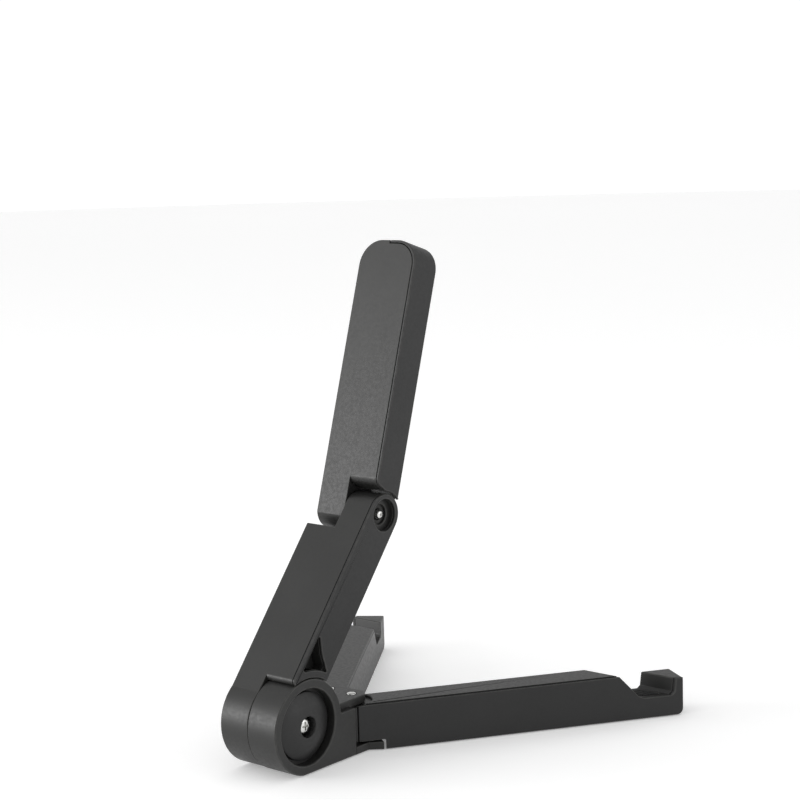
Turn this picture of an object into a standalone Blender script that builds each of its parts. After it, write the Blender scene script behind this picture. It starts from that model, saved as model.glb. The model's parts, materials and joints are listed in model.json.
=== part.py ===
"""Folding tablet stand: a floor hub, two swinging hook legs and a two-piece prop arm.

The stand rests on the table at z = 0. The tablet leans back on the arm from the -Y side, with
its lower edge in the two leg hooks. All driving dimensions are millimetres and degrees; MM
turns them into metres when a mesh is made.
"""
import math

import bmesh
import bpy
from mathutils import Matrix, Vector

MM = 0.001

# Whole stand
HALF_WIDTH = 12.6          # half of the folded bar's width
SPLIT = 0.15               # each half-lap hinge half stops this far from the middle plane
GAP = 0.3                  # air between neighbouring pieces
FOOT_LIFT = 0.3            # plastic undersides clear the table; rubber pads touch it
EDGE = 0.4                 # broken edge of the moulded shells
FINE_EDGE = 0.25           # broken edge of the side covers
COVER = 0.9                # thickness of the side covers
INNER_SIDE = COVER + GAP   # a shell's side stops this far inside its cover's outer face
ARC_STEP = 10.0            # degrees between points on round outlines
FINE_STEPS = 36            # sides of the larger turned pieces
COARSE_STEPS = 24          # sides of screws, pins and washers

# Joint positions at rest
ARM_LEAN = 39.0            # lower arm, forward from vertical
UPPER_LEAN = 17.3          # upper arm, forward from vertical
LEG_SPREAD = 34.0          # each leg, outward from straight ahead
HUB_AXIS_Z = 16.0
ELBOW_S = 75.3             # elbow axis, along the lower arm from the hub axis
ELBOW_N = 8.2              # elbow axis, towards the back of the lower arm
PIN_X = 5.0                # leg pins, each side of the middle plane
PIN_AHEAD = 29.5           # leg pins, ahead of the hub axis

# Hub
HUB_R = 16.0
BLOCK_AHEAD = 23.0
BLOCK_TOP = 16.7
CHEEK_R = 15.8
CAP_RECESS_R = 12.8
CAP_RECESS_FLOOR = -9.0
CAP_R = 11.8
CAP_HOLE_R = 3.5
CAP_DOME = 2.2
HUB_SCREW_R = 1.6
HUB_HEAD_R = 2.75
HUB_HEAD_TALL = 3.3
HUB_SCREW_END = 10.1
HUB_HEAD_SEAT = -7.5       # x of the floor under the hub screw's head
DISC_SEAT = 1.65           # x of the cheek's recess floor for the hub friction disc
DISC_R = 9.7
NUT_POCKET = 6.0           # x where the hub nut's pocket starts
NUT_POCKET_R = 5.6
HUB_WASHER_X = (6.3, 7.3)
HUB_WASHER_R = 4.2
HUB_NUT_X = (7.6, 9.8)
HUB_NUT_CORNER_R = 3.7
HUB_PLUG_START = 10.6
HUB_PAD_AHEAD = (8.0, 20.0)
HUB_PAD_HALF = 8.0
HUB_PAD_CORNER_R = 2.0
PAD_SUNK = 0.7             # rubber pads go this far into the plastic

# Clevis ears round the leg pins
TOP_EAR = (16.1, 18.9)
BOTTOM_EAR_TOP = 3.0
TOP_EAR_HALF = 10.2
TOP_EAR_REAR = 17.2
TOP_LOBE_R = 4.7
TAB_AHEAD = 9.2
BOTTOM_EAR_MIDDLE = 33.8   # how far ahead the plate reaches between the legs
PIN_R = 1.25
PIN_HEAD_R = 1.6
PIN_HEAD_SUNK = 0.5
PIN_WASHER_R = 4.0
PIN_WASHER_TOP = 4.1

# Legs, in their own frame: u outward, s along the leg, both from the pin
LEG_OUT = 7.6
LEG_IN = 4.85
LEG_LENGTH = 119.7
LEG_TOP = 16.7
LIP_TOP = 13.7
COVER_DROP = 0.35          # the side cover's top edge is this much lower than the shell
UNDERCUT_TOP = 3.8         # height of the leg's underside over the bottom ear
TIP_ROUND = 2.3
EAR_SWEEP_R = 12.3
TOP_RECESS_R = 7.2
TOP_RECESS_Z = 15.8
LEG_HOLLOW_S = (16.0, 91.0)
LEG_HOLLOW_Z = (4.8, 14.2)
LEG_WALL = 2.0
HOLLOW_CORNER_R = 1.5
FOOT_PAD_S = 107.0
FOOT_PAD_R = 3.6
HOOK_PAD_LOW = 6.6

# Hook notch, square to the tablet when the legs are open: y ahead of the hub axis, and z
NOTCH_START = 104.3
NOTCH_CORNER = (110.4, 8.8)
NOTCH_FLOOR_Z = 7.8
NOTCH_FLOOR_START = 112.2
NOTCH_FLOOR_END = 120.9
NOTCH_LIP = 122.3

# Lower arm, in its own frame: s along the arm, n towards the back, both from the hub axis
LOWER_BACK = 15.4
LOWER_FRONT = 1.0
LOWER_TOP = 65.4
BARREL_CLEAR_R = 16.6
LOWER_END_S = 8.4          # blunt lower end of the near half
LOWER_END_R = 1.7
CHANNEL_HALF = 10.5
CHANNEL_S = (16.3, 62.0)
CHANNEL_BACK = 3.8
LOWER_HOLLOW_S = (29.0, 62.0)
LOWER_HOLLOW_N = (6.0, 13.0)
LOWER_HOLLOW_X = 10.4
WINDOW_ARC_R = 18.7
WINDOW_BACK = 13.3
WINDOW_APEX_S = 27.5
WINDOW_WAIST = (8.3, 22.5)
WINDOW_LOW_N = 2.4
WINDOW_FLOOR = -7.0        # x of the window's blind end
WINDOW_SILL = -11.0        # x of its shallow floor in front of the channel
WINDOW_SILL_N = 4.2
EAR_R = 7.2
EAR_BORE_R = 5.5
EAR_STEP_R = 3.4
EAR_STEPS_X = (-10.2, -9.2, -8.4)
ELBOW_SCREW_R = 1.1
ELBOW_HEAD_R = 1.7
ELBOW_HEAD_TALL = 2.2
ELBOW_SCREW_END = 11.4

# Upper arm, in its own frame: s along the arm, n towards the back, both from the elbow axis
UPPER_BACK = 6.5
UPPER_FRONT = -5.6
UPPER_LENGTH = 94.2
LOBE_R = 6.8
TIP_CORNER_R = 9.0
STEP_BACK_S = 12.1         # the half-lap step starts here on the back face
STEP_CORNER_R = 3.0
STEP_CORNER_TURN = 72.0    # degrees of the step's round back corner
STEP_CLEAR_R = 8.2
STEP_CLEAR_FROM = 80.0
UPPER_HOLLOW_S = (14.0, 84.0)
UPPER_HOLLOW_N = (-3.4, 4.3)
UPPER_HOLLOW_X = 10.4
TIP_PAD_S = (76.0, 90.0)
TIP_PAD_HALF = 7.5
TIP_PAD_PROUD = 0.3
TIP_PAD_SUNK = 0.9
TIP_PAD_CORNER_R = 2.0
ELBOW_DISC_SEAT = 1.35     # x of the lobe's recess floor for the elbow friction disc
ELBOW_DISC_R = 5.0
LOBE_POCKET = 7.5          # x where the elbow nut's pocket starts
LOBE_POCKET_R = 4.6
ELBOW_WASHER_END = 8.5
ELBOW_WASHER_R = 3.4
ELBOW_NUT_X = (8.8, 11.0)
ELBOW_NUT_CORNER_R = 3.0

# The origin is under the middle of the stand's box: rear of the hub to the front of the leg tips
SPREAD = math.radians(LEG_SPREAD)
REACH = PIN_AHEAD + LEG_LENGTH * math.cos(SPREAD) + LEG_IN * math.sin(SPREAD)
HUB_Y = (REACH - HUB_R) / 2


# ---- Outlines: lists of 2-D points, in millimetres ----

def arc(centre, radius, start, end):
    """Points round a circle from one angle to another, in degrees."""
    count = max(2, round(abs(end - start) / ARC_STEP))
    points = []
    for i in range(count + 1):
        angle = math.radians(start + (end - start) * i / count)
        points.append((centre[0] + radius * math.cos(angle), centre[1] + radius * math.sin(angle)))
    return points


def circle(centre, radius):
    """A full circle without a repeated last point."""
    return arc(centre, radius, 0, 360)[:-1]


def rectangle(low, high):
    """A rectangle between two corners."""
    return [low, (high[0], low[1]), high, (low[0], high[1])]


def rounded(low, high, radius):
    """A rectangle with four round corners."""
    (a0, b0), (a1, b1) = low, high
    points = arc((a1 - radius, b1 - radius), radius, 0, 90)
    points += arc((a0 + radius, b1 - radius), radius, 90, 180)
    points += arc((a0 + radius, b0 + radius), radius, 180, 270)
    points += arc((a1 - radius, b0 + radius), radius, 270, 360)
    return points


# ---- Solids: bmeshes in metres, in the frame of the object they go to ----

def prism(outline, low, high, axis):
    """An outline pushed along an axis. The outline's pair is the other two axes in order."""
    order = {"X": (2, 0, 1), "Y": (0, 2, 1), "Z": (0, 1, 2)}[axis]
    bm = bmesh.new()
    rings = []
    for level in (low, high):
        ring = []
        for a, b in outline:
            values = (a, b, level)
            ring.append(bm.verts.new(Vector([values[i] * MM for i in order])))
        rings.append(ring)
    bm.faces.new(rings[0])
    bm.faces.new(rings[1])
    for i in range(len(outline)):
        j = (i + 1) % len(outline)
        bm.faces.new((rings[0][i], rings[0][j], rings[1][j], rings[1][i]))
    bmesh.ops.recalc_face_normals(bm, faces=bm.faces)
    return bm


def turned(profile, axis, steps=FINE_STEPS):
    """A closed loop of (along, radius) points turned round an axis. Radius 0 closes the end."""
    turn = {"X": Matrix.Rotation(math.radians(90), 4, "Y"), "Z": Matrix.Identity(4)}[axis]
    bm = bmesh.new()
    rings = []
    for along, radius in profile:
        count = steps if radius > 0 else 1
        ring = []
        for i in range(count):
            angle = 2 * math.pi * i / steps
            point = Vector((radius * math.cos(angle), radius * math.sin(angle), along)) * MM
            ring.append(bm.verts.new(turn @ point))
        rings.append(ring)
    open_ended = len(rings[0]) == 1 and len(rings[-1]) == 1
    for k in range(len(rings) - (1 if open_ended else 0)):
        one, two = rings[k], rings[(k + 1) % len(rings)]
        for i in range(steps):
            j = (i + 1) % steps
            corners = [one[i % len(one)], one[j % len(one)], two[j % len(two)], two[i % len(two)]]
            bm.faces.new(list(dict.fromkeys(corners)))
    bmesh.ops.recalc_face_normals(bm, faces=bm.faces)
    return bm


def ring(low, high, outer, inner, axis="X", steps=COARSE_STEPS):
    """A flat washer."""
    return turned([(low, inner), (low, outer), (high, outer), (high, inner)], axis, steps)


def hexagon_nut(low, high, corner_r, hole_r):
    """A hexagonal nut along X with a round hole."""
    bm = bmesh.new()
    steps = COARSE_STEPS
    levels = []
    for x in (low, high):
        outer, inner = [], []
        for i in range(steps):
            angle = 2 * math.pi * i / steps
            flat = math.cos(math.pi / 6) / math.cos((angle % (math.pi / 3)) - math.pi / 6)
            for verts, radius in ((outer, corner_r * flat), (inner, hole_r)):
                place = (x, radius * math.cos(angle), radius * math.sin(angle))
                verts.append(bm.verts.new(Vector(place) * MM))
        levels.append((outer, inner))
    (outer0, inner0), (outer1, inner1) = levels
    for i in range(steps):
        j = (i + 1) % steps
        bm.faces.new((outer0[i], outer0[j], outer1[j], outer1[i]))
        bm.faces.new((inner0[i], inner0[j], inner1[j], inner1[i]))
        bm.faces.new((outer0[i], outer0[j], inner0[j], inner0[i]))
        bm.faces.new((outer1[i], outer1[j], inner1[j], inner1[i]))
    bmesh.ops.recalc_face_normals(bm, faces=bm.faces)
    return bm


# ---- Objects ----

def material(name, colour, roughness, metallic=0.0):
    """A Principled material."""
    made = bpy.data.materials.new(name)
    made.use_nodes = True
    shader = made.node_tree.nodes["Principled BSDF"]
    shader.inputs["Base Color"].default_value = (*colour, 1.0)
    shader.inputs["Roughness"].default_value = roughness
    shader.inputs["Metallic"].default_value = metallic
    return made


def black_plastic(name):
    return material(name, (0.035, 0.035, 0.037), 0.42)


def rubber(name):
    return material(name, (0.018, 0.018, 0.018), 0.85)


def steel(name):
    return material(name, (0.62, 0.62, 0.63), 0.28, 1.0)


def nylon(name):
    return material(name, (0.09, 0.09, 0.1), 0.6)


def empty(name, parent, place, turn):
    """A joint axis: place in millimetres, turn in degrees about X, Y and Z."""
    made = bpy.data.objects.new(name, None)
    bpy.context.scene.collection.objects.link(made)
    made.parent = parent
    made.location = Vector(place) * MM
    made.rotation_euler = [math.radians(angle) for angle in turn]
    return made


def place_mesh(name, bm, parent, turn_z=0.0):
    mesh = bpy.data.meshes.new(name)
    bm.to_mesh(mesh)
    bm.free()
    made = bpy.data.objects.new(name, mesh)
    bpy.context.scene.collection.objects.link(made)
    made.parent = parent
    made.rotation_euler.z = math.radians(turn_z)
    return made


def node(name, bm, parent, make_material, edge=0.0):
    """A visible sub-part with its own material and, on shells, broken edges."""
    made = place_mesh(name, bm, parent)
    made.data.materials.append(make_material(name + "_finish"))
    made.data.shade_smooth()
    made.data.set_sharp_from_angle(angle=math.radians(30))
    if edge:
        bevel = made.modifiers.new("edges", "BEVEL")
        bevel.width = edge * MM
        bevel.segments = 1
        bevel.limit_method = "ANGLE"
        bevel.angle_limit = math.radians(50)
    return made


def shape(target, bm, operation="DIFFERENCE", turn_z=0.0):
    """Cuts, joins or trims a sub-part with a hidden solid in the same frame."""
    tool = place_mesh(target.name + "_tool", bm, target.parent, turn_z)
    tool.hide_render = True
    tool.display_type = "WIRE"
    modifier = target.modifiers.new(operation.lower(), "BOOLEAN")
    modifier.operation = operation
    modifier.object = tool
    modifier.solver = "EXACT"


# ---- Hub: the root body ----

def hub_block(base):
    """The floor block: barrel on the -X side, room for the arm's cheek on the +X side."""
    top_angle = math.degrees(math.asin((BLOCK_TOP - HUB_AXIS_Z) / HUB_R))
    foot_angle = math.degrees(math.asin((HUB_AXIS_Z - FOOT_LIFT) / HUB_R))
    outline = [(-BLOCK_AHEAD, FOOT_LIFT), (-BLOCK_AHEAD, BLOCK_TOP)]
    outline += arc((0, HUB_AXIS_Z), HUB_R, 180 - top_angle, -foot_angle)
    block = node("hub_block", prism(outline, -HALF_WIDTH, HALF_WIDTH, "X"), base,
                 black_plastic, EDGE)
    cheek_room = circle((0, HUB_AXIS_Z), CHEEK_R + GAP)
    shape(block, prism(cheek_room, -SPLIT, HALF_WIDTH + 2, "X"))
    fold_room = rectangle((-BLOCK_AHEAD + 1, BLOCK_TOP + 0.01), (0, 40))
    shape(block, prism(fold_room, -SPLIT, HALF_WIDTH + 2, "X"))
    seat = [(-HALF_WIDTH - 2, 0), (-HALF_WIDTH - 2, CAP_RECESS_R), (CAP_RECESS_FLOOR, CAP_RECESS_R)]
    seat += [(CAP_RECESS_FLOOR, HUB_HEAD_R + GAP), (HUB_HEAD_SEAT, HUB_HEAD_R + GAP)]
    seat += [(HUB_HEAD_SEAT, HUB_SCREW_R + GAP), (2, HUB_SCREW_R + GAP), (2, 0)]
    bore = turned(seat, "X")
    bmesh.ops.translate(bore, vec=Vector((0, 0, HUB_AXIS_Z)) * MM, verts=bore.verts)
    shape(block, bore)
    for side in (-1, 1):
        knuckle_room = circle((side * PIN_X, -PIN_AHEAD), LEG_OUT + GAP)
        shape(block, prism(knuckle_room, BOTTOM_EAR_TOP, BLOCK_TOP + 2, "Z"))
    shape(block, prism(top_ear_outline(), *TOP_EAR, "Z"), "UNION")
    shape(block, prism(bottom_ear_outline(), FOOT_LIFT + 0.01, BOTTOM_EAR_TOP, "Z"), "UNION")
    for side in (-1, 1):
        centre = (side * PIN_X, -PIN_AHEAD)
        shape(block, prism(circle(centre, PIN_R + GAP), -1, 22, "Z"))
        shape(block, prism(circle(centre, PIN_HEAD_R + GAP), TOP_EAR[1] - PIN_HEAD_SUNK - GAP, 22, "Z"))
    near, far = HUB_PAD_AHEAD
    pad_room = rounded((-HUB_PAD_HALF - GAP, -far - GAP), (HUB_PAD_HALF + GAP, -near + GAP),
                       HUB_PAD_CORNER_R + GAP)
    shape(block, prism(pad_room, -1, FOOT_LIFT + PAD_SUNK + GAP, "Z"))


def top_ear_outline():
    """The raised plate over the leg pins: two round lobes joined behind."""
    points = arc((PIN_X, -PIN_AHEAD), TOP_LOBE_R, -90, 0)
    points += [(TOP_EAR_HALF, -TOP_EAR_REAR), (-TOP_EAR_HALF, -TOP_EAR_REAR)]
    points += arc((-PIN_X, -PIN_AHEAD), TOP_LOBE_R, 180, 270)
    return points


def leg_point(side, u, s):
    """A point of an open leg, seen from above: x, and y from the hub axis."""
    x = PIN_X + s * math.sin(SPREAD) + u * math.cos(SPREAD)
    y = -PIN_AHEAD - s * math.cos(SPREAD) + u * math.sin(SPREAD)
    return (side * x, y)


def bottom_ear_outline():
    """The plate under the leg knuckles, with a tab along each open leg."""
    inset = HALF_WIDTH - 0.02
    right = [(inset, -BLOCK_AHEAD + 3.0), (inset, -PIN_AHEAD)]
    right += [leg_point(1, LEG_OUT, TAB_AHEAD), leg_point(1, -LEG_IN, TAB_AHEAD),
              (0, -BOTTOM_EAR_MIDDLE)]
    left = [(-x, y) for x, y in reversed(right[:-1])]
    return right + left


def hub_hardware(hub_axis):
    """The cap, screw, spring washer and nut that hold the lower arm to the hub."""
    rim = -HALF_WIDTH + CAP_DOME + 0.1
    cap = [(CAP_RECESS_FLOOR - GAP, CAP_R), (rim, CAP_R)]
    dome_rings = 4
    for i in range(1, dome_rings + 1):
        share = i / dome_rings
        radius = CAP_R + (CAP_HOLE_R - CAP_R) * share
        cap.append((rim - CAP_DOME * math.sin(share * math.pi / 2), radius))
    cap.append((CAP_RECESS_FLOOR - GAP, CAP_HOLE_R))
    node("hub_cap", turned(cap, "X"), hub_axis, black_plastic)
    under = HUB_HEAD_SEAT - GAP
    crown = under - HUB_HEAD_TALL
    head = [(crown, 0), (crown, HUB_HEAD_R - 0.5), (crown + 0.3, HUB_HEAD_R)]
    shank = [(under, HUB_HEAD_R), (under, HUB_SCREW_R), (HUB_SCREW_END, HUB_SCREW_R),
             (HUB_SCREW_END, 0)]
    node("hub_screw", turned(head + shank, "X", COARSE_STEPS), hub_axis, steel)
    washer = ring(*HUB_WASHER_X, HUB_WASHER_R, HUB_SCREW_R + GAP)
    node("hub_spring_washer", washer, hub_axis, steel)
    nut = hexagon_nut(*HUB_NUT_X, HUB_NUT_CORNER_R, HUB_SCREW_R + GAP)
    node("hub_nut", nut, hub_axis, steel)


def base_small_parts(base):
    """The hub's rubber foot, and a pin and washer in each leg pivot."""
    near, far = HUB_PAD_AHEAD
    pad = prism(rounded((-HUB_PAD_HALF, -far), (HUB_PAD_HALF, -near), HUB_PAD_CORNER_R), 0,
                FOOT_LIFT + PAD_SUNK, "Z")
    node("hub_foot_pad", pad, base, rubber)
    for side, name in ((-1, "left"), (1, "right")):
        place = Vector((side * PIN_X, -PIN_AHEAD, 0)) * MM
        top = TOP_EAR[1]
        neck = top - PIN_HEAD_SUNK
        pin = turned([(0.7, 0), (0.7, PIN_R), (neck, PIN_R), (neck, PIN_HEAD_R),
                      (top - 0.1, PIN_HEAD_R), (top + 0.3, PIN_HEAD_R - 0.5), (top + 0.3, 0)],
                     "Z", COARSE_STEPS)
        bmesh.ops.translate(pin, vec=place, verts=pin.verts)
        node(name + "_pivot_pin", pin, base, steel)
        washer = ring(BOTTOM_EAR_TOP + GAP, PIN_WASHER_TOP, PIN_WASHER_R, PIN_R + GAP, "Z")
        bmesh.ops.translate(washer, vec=place, verts=washer.verts)
        node(name + "_pivot_washer", washer, base, nylon)


# ---- Legs ----

def leg(side, name, pivot):
    """A hook leg: shell, side cover, hook pad and foot pad. Its frame has the leg along -Y."""
    def plan(points):
        return [(side * u, -s) for u, s in points]

    inner_u = LEG_OUT - INNER_SIDE
    outline = [(inner_u, LEG_LENGTH + 1.5), (-LEG_IN, LEG_LENGTH + 1.5)]
    outline += arc((0, 0), LEG_IN, 180, 270)
    outline += arc((0, 0), LEG_OUT, 270, 360)
    outline.append((inner_u, 0))
    shell = node(name + "_leg_shell", prism(plan(outline), FOOT_LIFT, LEG_TOP, "Z"), pivot,
                 black_plastic, EDGE)
    plate = rectangle((LEG_OUT - COVER, GAP), (LEG_OUT, LEG_LENGTH + 1.5))
    cover = node(name + "_leg_side_cover", prism(plan(plate), FOOT_LIFT, LEG_TOP - COVER_DROP, "Z"),
                 pivot, black_plastic, FINE_EDGE)
    tip = [(20, -2), (20, 25), (-LEG_LENGTH, 25)]
    centre = (-LEG_LENGTH + TIP_ROUND, FOOT_LIFT + TIP_ROUND)
    tip += arc(centre, TIP_ROUND, 180, 270)
    tip += [(-LEG_LENGTH + TIP_ROUND + 4, FOOT_LIFT - 0.2), (-LEG_LENGTH + TIP_ROUND + 8, -2)]
    under_ear = arc((0, 0), TOP_RECESS_R, 0, 180) + [(-9, 0), (-9, -9), (9, -9), (9, 0)]
    for piece in (shell, cover):
        shape(piece, prism(tip, -LEG_OUT - 3, LEG_OUT + 3, "X"), "INTERSECT")
        shape(piece, notch(side), turn_z=-side * LEG_SPREAD)
        sweep = circle((0, 0), EAR_SWEEP_R)
        shape(piece, prism(plan(sweep), -1, UNDERCUT_TOP, "Z"))
        shape(piece, prism(plan(under_ear), TOP_RECESS_Z, LEG_TOP + 2, "Z"))
    shape(shell, prism(plan(circle((0, 0), PIN_WASHER_R + GAP)), -1, PIN_WASHER_TOP + GAP, "Z"))
    shape(shell, prism(plan(circle((0, 0), PIN_R + GAP)), -1, 20, "Z"))
    (near, far), (low, high) = LEG_HOLLOW_S, LEG_HOLLOW_Z
    ends = sorted((side * (-LEG_IN + LEG_WALL), side * (LEG_OUT + 2)))
    shape(shell, prism(rounded((-far, low), (-near, high), HOLLOW_CORNER_R), *ends, "X"))
    foot = ((inner_u - LEG_IN) / 2, FOOT_PAD_S)
    foot_top = FOOT_LIFT + PAD_SUNK
    shape(shell, prism(plan(circle(foot, FOOT_PAD_R + GAP)), -1, foot_top + GAP, "Z"))
    shape(shell, hook_pad_solid(side, GAP, HOOK_PAD_LOW - GAP, NOTCH_FLOOR_Z + 1),
          turn_z=-side * LEG_SPREAD)

    node(name + "_foot_pad", prism(plan(circle(foot, FOOT_PAD_R)), 0, foot_top, "Z"), pivot,
         rubber)
    pad = hook_pad_solid(side, 0, HOOK_PAD_LOW, NOTCH_FLOOR_Z + 0.1)
    bmesh.ops.transform(pad, matrix=Matrix.Rotation(-side * SPREAD, 4, "Z"), verts=pad.verts)
    node(name + "_hook_pad", pad, pivot, rubber)


def notch(side):
    """The hook's cutter along the tablet's edge, in the pivot's frame turned to world axes."""
    above = 5.1
    slope = (NOTCH_CORNER[0] - NOTCH_START) / (LEG_TOP - NOTCH_CORNER[1])
    profile = [(NOTCH_START - above * slope, LEG_TOP + above), NOTCH_CORNER]
    profile += [(NOTCH_FLOOR_START, NOTCH_FLOOR_Z), (NOTCH_FLOOR_END, NOTCH_FLOOR_Z)]
    profile += [(NOTCH_LIP - 0.5, NOTCH_FLOOR_Z + 1.0), (NOTCH_LIP, LIP_TOP)]
    profile += [(NOTCH_LIP + 25, LIP_TOP), (NOTCH_LIP + 25, LEG_TOP + above)]
    points = [(PIN_AHEAD - ahead, z) for ahead, z in profile]
    ends = sorted((side * 30, side * 100))
    return prism(points, *ends, "X")


def hook_pad_solid(side, grow, low, high):
    """A rubber insert in the notch floor: ends along the leg, edges along the tablet."""
    near = NOTCH_FLOOR_START + 1.0 - grow
    far = NOTCH_FLOOR_END - 1.0 + grow
    margin = 2.0 - grow
    outer, inner = LEG_OUT - INNER_SIDE - margin, -LEG_IN + margin
    points = []
    for ahead, u in ((near, outer), (far, outer), (far, inner), (near, inner)):
        s = (ahead - PIN_AHEAD + u * math.sin(SPREAD)) / math.cos(SPREAD)
        x, y = leg_point(side, u, s)
        points.append((x - side * PIN_X, y + PIN_AHEAD))
    return prism(points, low, high, "Z")


# ---- Lower arm ----

def window_outline(low_n):
    """The three-cornered window over the hub, down to low_n at its front corner."""
    back, front = (math.degrees(math.asin(n / WINDOW_ARC_R)) for n in (WINDOW_BACK, low_n))
    points = arc((0, 0), WINDOW_ARC_R, 90 - back, 90 - front)
    corner_s = math.sqrt(WINDOW_ARC_R ** 2 - WINDOW_LOW_N ** 2)
    share = (low_n - WINDOW_LOW_N) / (WINDOW_WAIST[0] - WINDOW_LOW_N)
    if share:
        points.append((low_n, corner_s + (WINDOW_WAIST[1] - corner_s) * share))
    return points + [WINDOW_WAIST, (WINDOW_BACK, WINDOW_APEX_S)]


def lower_arm(hub_axis):
    """Channel-shaped arm: cheek on the hub at +X, ear at the elbow at -X."""
    front_angle = math.degrees(math.acos(LOWER_FRONT / CHEEK_R))
    back_angle = math.degrees(math.acos(LOWER_BACK / CHEEK_R))
    outline = arc((0, 0), CHEEK_R, front_angle, 360 + back_angle)
    elbow = (ELBOW_N, ELBOW_S)
    outline += arc(elbow, EAR_R, 0, 180)
    inner_x = -HALF_WIDTH + INNER_SIDE
    shell = node("lower_arm_shell", prism(outline, inner_x, HALF_WIDTH, "X"), hub_axis,
                 black_plastic, EDGE)
    cover = node("lower_arm_side_cover", prism(outline, -HALF_WIDTH, -HALF_WIDTH + COVER, "X"),
                 hub_axis, black_plastic, FINE_EDGE)
    end_centre = (LOWER_BACK - LOWER_END_R, LOWER_END_S + LOWER_END_R)
    end = [(LOWER_BACK + 4, end_centre[1])] + arc(end_centre, LOWER_END_R, 0, -90)
    end += [(end_centre[0] - 2, LOWER_END_S), (end_centre[0] - 2, 0), (LOWER_BACK + 4, 0)]
    for piece in (shell, cover):
        shape(piece, prism(circle((0, 0), BARREL_CLEAR_R), -HALF_WIDTH - 2, SPLIT, "X"))
        shape(piece, prism(end, -HALF_WIDTH - 2, SPLIT, "X"))
        shape(piece, prism(window_outline(WINDOW_LOW_N), -HALF_WIDTH - 2, WINDOW_SILL, "X"))
    shape(shell, prism(window_outline(WINDOW_SILL_N), -HALF_WIDTH - 3, WINDOW_FLOOR, "X"))
    shape(shell, prism(rectangle((-5, LOWER_TOP), (25, 95)), -SPLIT, HALF_WIDTH + 2, "X"))
    channel = rectangle((-5, CHANNEL_S[0]), (CHANNEL_BACK, CHANNEL_S[1]))
    shape(shell, prism(channel, -CHANNEL_HALF, CHANNEL_HALF, "X"))
    (near, far), (front, back) = LOWER_HOLLOW_S, LOWER_HOLLOW_N
    hollow = rounded((front, near), (back, far), HOLLOW_CORNER_R)
    shape(shell, prism(hollow, -HALF_WIDTH - 2, LOWER_HOLLOW_X, "X"))
    outside = HALF_WIDTH + 2
    bore_r = HUB_SCREW_R + GAP
    stack = [(-1, 0), (-1, DISC_R + GAP), (DISC_SEAT, DISC_R + GAP), (DISC_SEAT, bore_r)]
    stack += [(NUT_POCKET, bore_r), (NUT_POCKET, NUT_POCKET_R), (outside, NUT_POCKET_R)]
    stack += [(outside, 0)]
    shape(shell, turned(stack, "X"))
    head_r, bore_r = ELBOW_HEAD_R + GAP, ELBOW_SCREW_R + GAP
    first, second, third = EAR_STEPS_X
    ear = [(-outside, 0), (-outside, EAR_BORE_R), (first, EAR_BORE_R), (first, EAR_STEP_R)]
    ear += [(second, EAR_STEP_R), (second, head_r), (third, head_r), (third, bore_r)]
    ear += [(2, bore_r), (2, 0)]
    bore = turned(ear, "X")
    bmesh.ops.translate(bore, vec=Vector((0, ELBOW_N, ELBOW_S)) * MM, verts=bore.verts)
    shape(shell, bore)
    shape(cover, prism(circle(elbow, EAR_BORE_R), -HALF_WIDTH - 2, 0, "X"))

    disc = ring(SPLIT, DISC_SEAT - GAP, DISC_R, HUB_SCREW_R + GAP)
    node("hub_friction_disc", disc, hub_axis, nylon)
    plug_r = NUT_POCKET_R - GAP
    face = HALF_WIDTH - 0.1
    plug = [(HUB_PLUG_START, 0), (HUB_PLUG_START, plug_r), (face - 0.3, plug_r),
            (face, plug_r - 0.5), (face, 0)]
    node("hub_nut_cap", turned(plug, "X"), hub_axis, black_plastic)


def elbow_hardware(hub_axis):
    """The elbow's screw, washer and nut, carried by the lower arm."""
    place = Vector((0, ELBOW_N, ELBOW_S)) * MM
    under = EAR_STEPS_X[2] - GAP
    crown = under - ELBOW_HEAD_TALL
    profile = [(crown, 0), (crown, ELBOW_HEAD_R - 0.4), (crown + 0.3, ELBOW_HEAD_R)]
    profile += [(under, ELBOW_HEAD_R), (under, ELBOW_SCREW_R)]
    profile += [(ELBOW_SCREW_END, ELBOW_SCREW_R), (ELBOW_SCREW_END, 0)]
    screw = turned(profile, "X", COARSE_STEPS)
    hole_r = ELBOW_SCREW_R + GAP
    washer = ring(LOBE_POCKET + GAP, ELBOW_WASHER_END, ELBOW_WASHER_R, hole_r)
    nut = hexagon_nut(*ELBOW_NUT_X, ELBOW_NUT_CORNER_R, hole_r)
    for name, bm in (("elbow_screw", screw), ("elbow_washer", washer), ("elbow_nut", nut)):
        bmesh.ops.translate(bm, vec=place, verts=bm.verts)
        node(name, bm, hub_axis, steel)


# ---- Upper arm ----

def tip_corner(side, inset):
    """The arm tip's round corner, from the side edge up to the top edge, x then s."""
    centre = (side * (HALF_WIDTH - TIP_CORNER_R), UPPER_LENGTH - TIP_CORNER_R)
    start = 0 if side > 0 else 180
    return arc(centre, TIP_CORNER_R - inset, start, 90)


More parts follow.
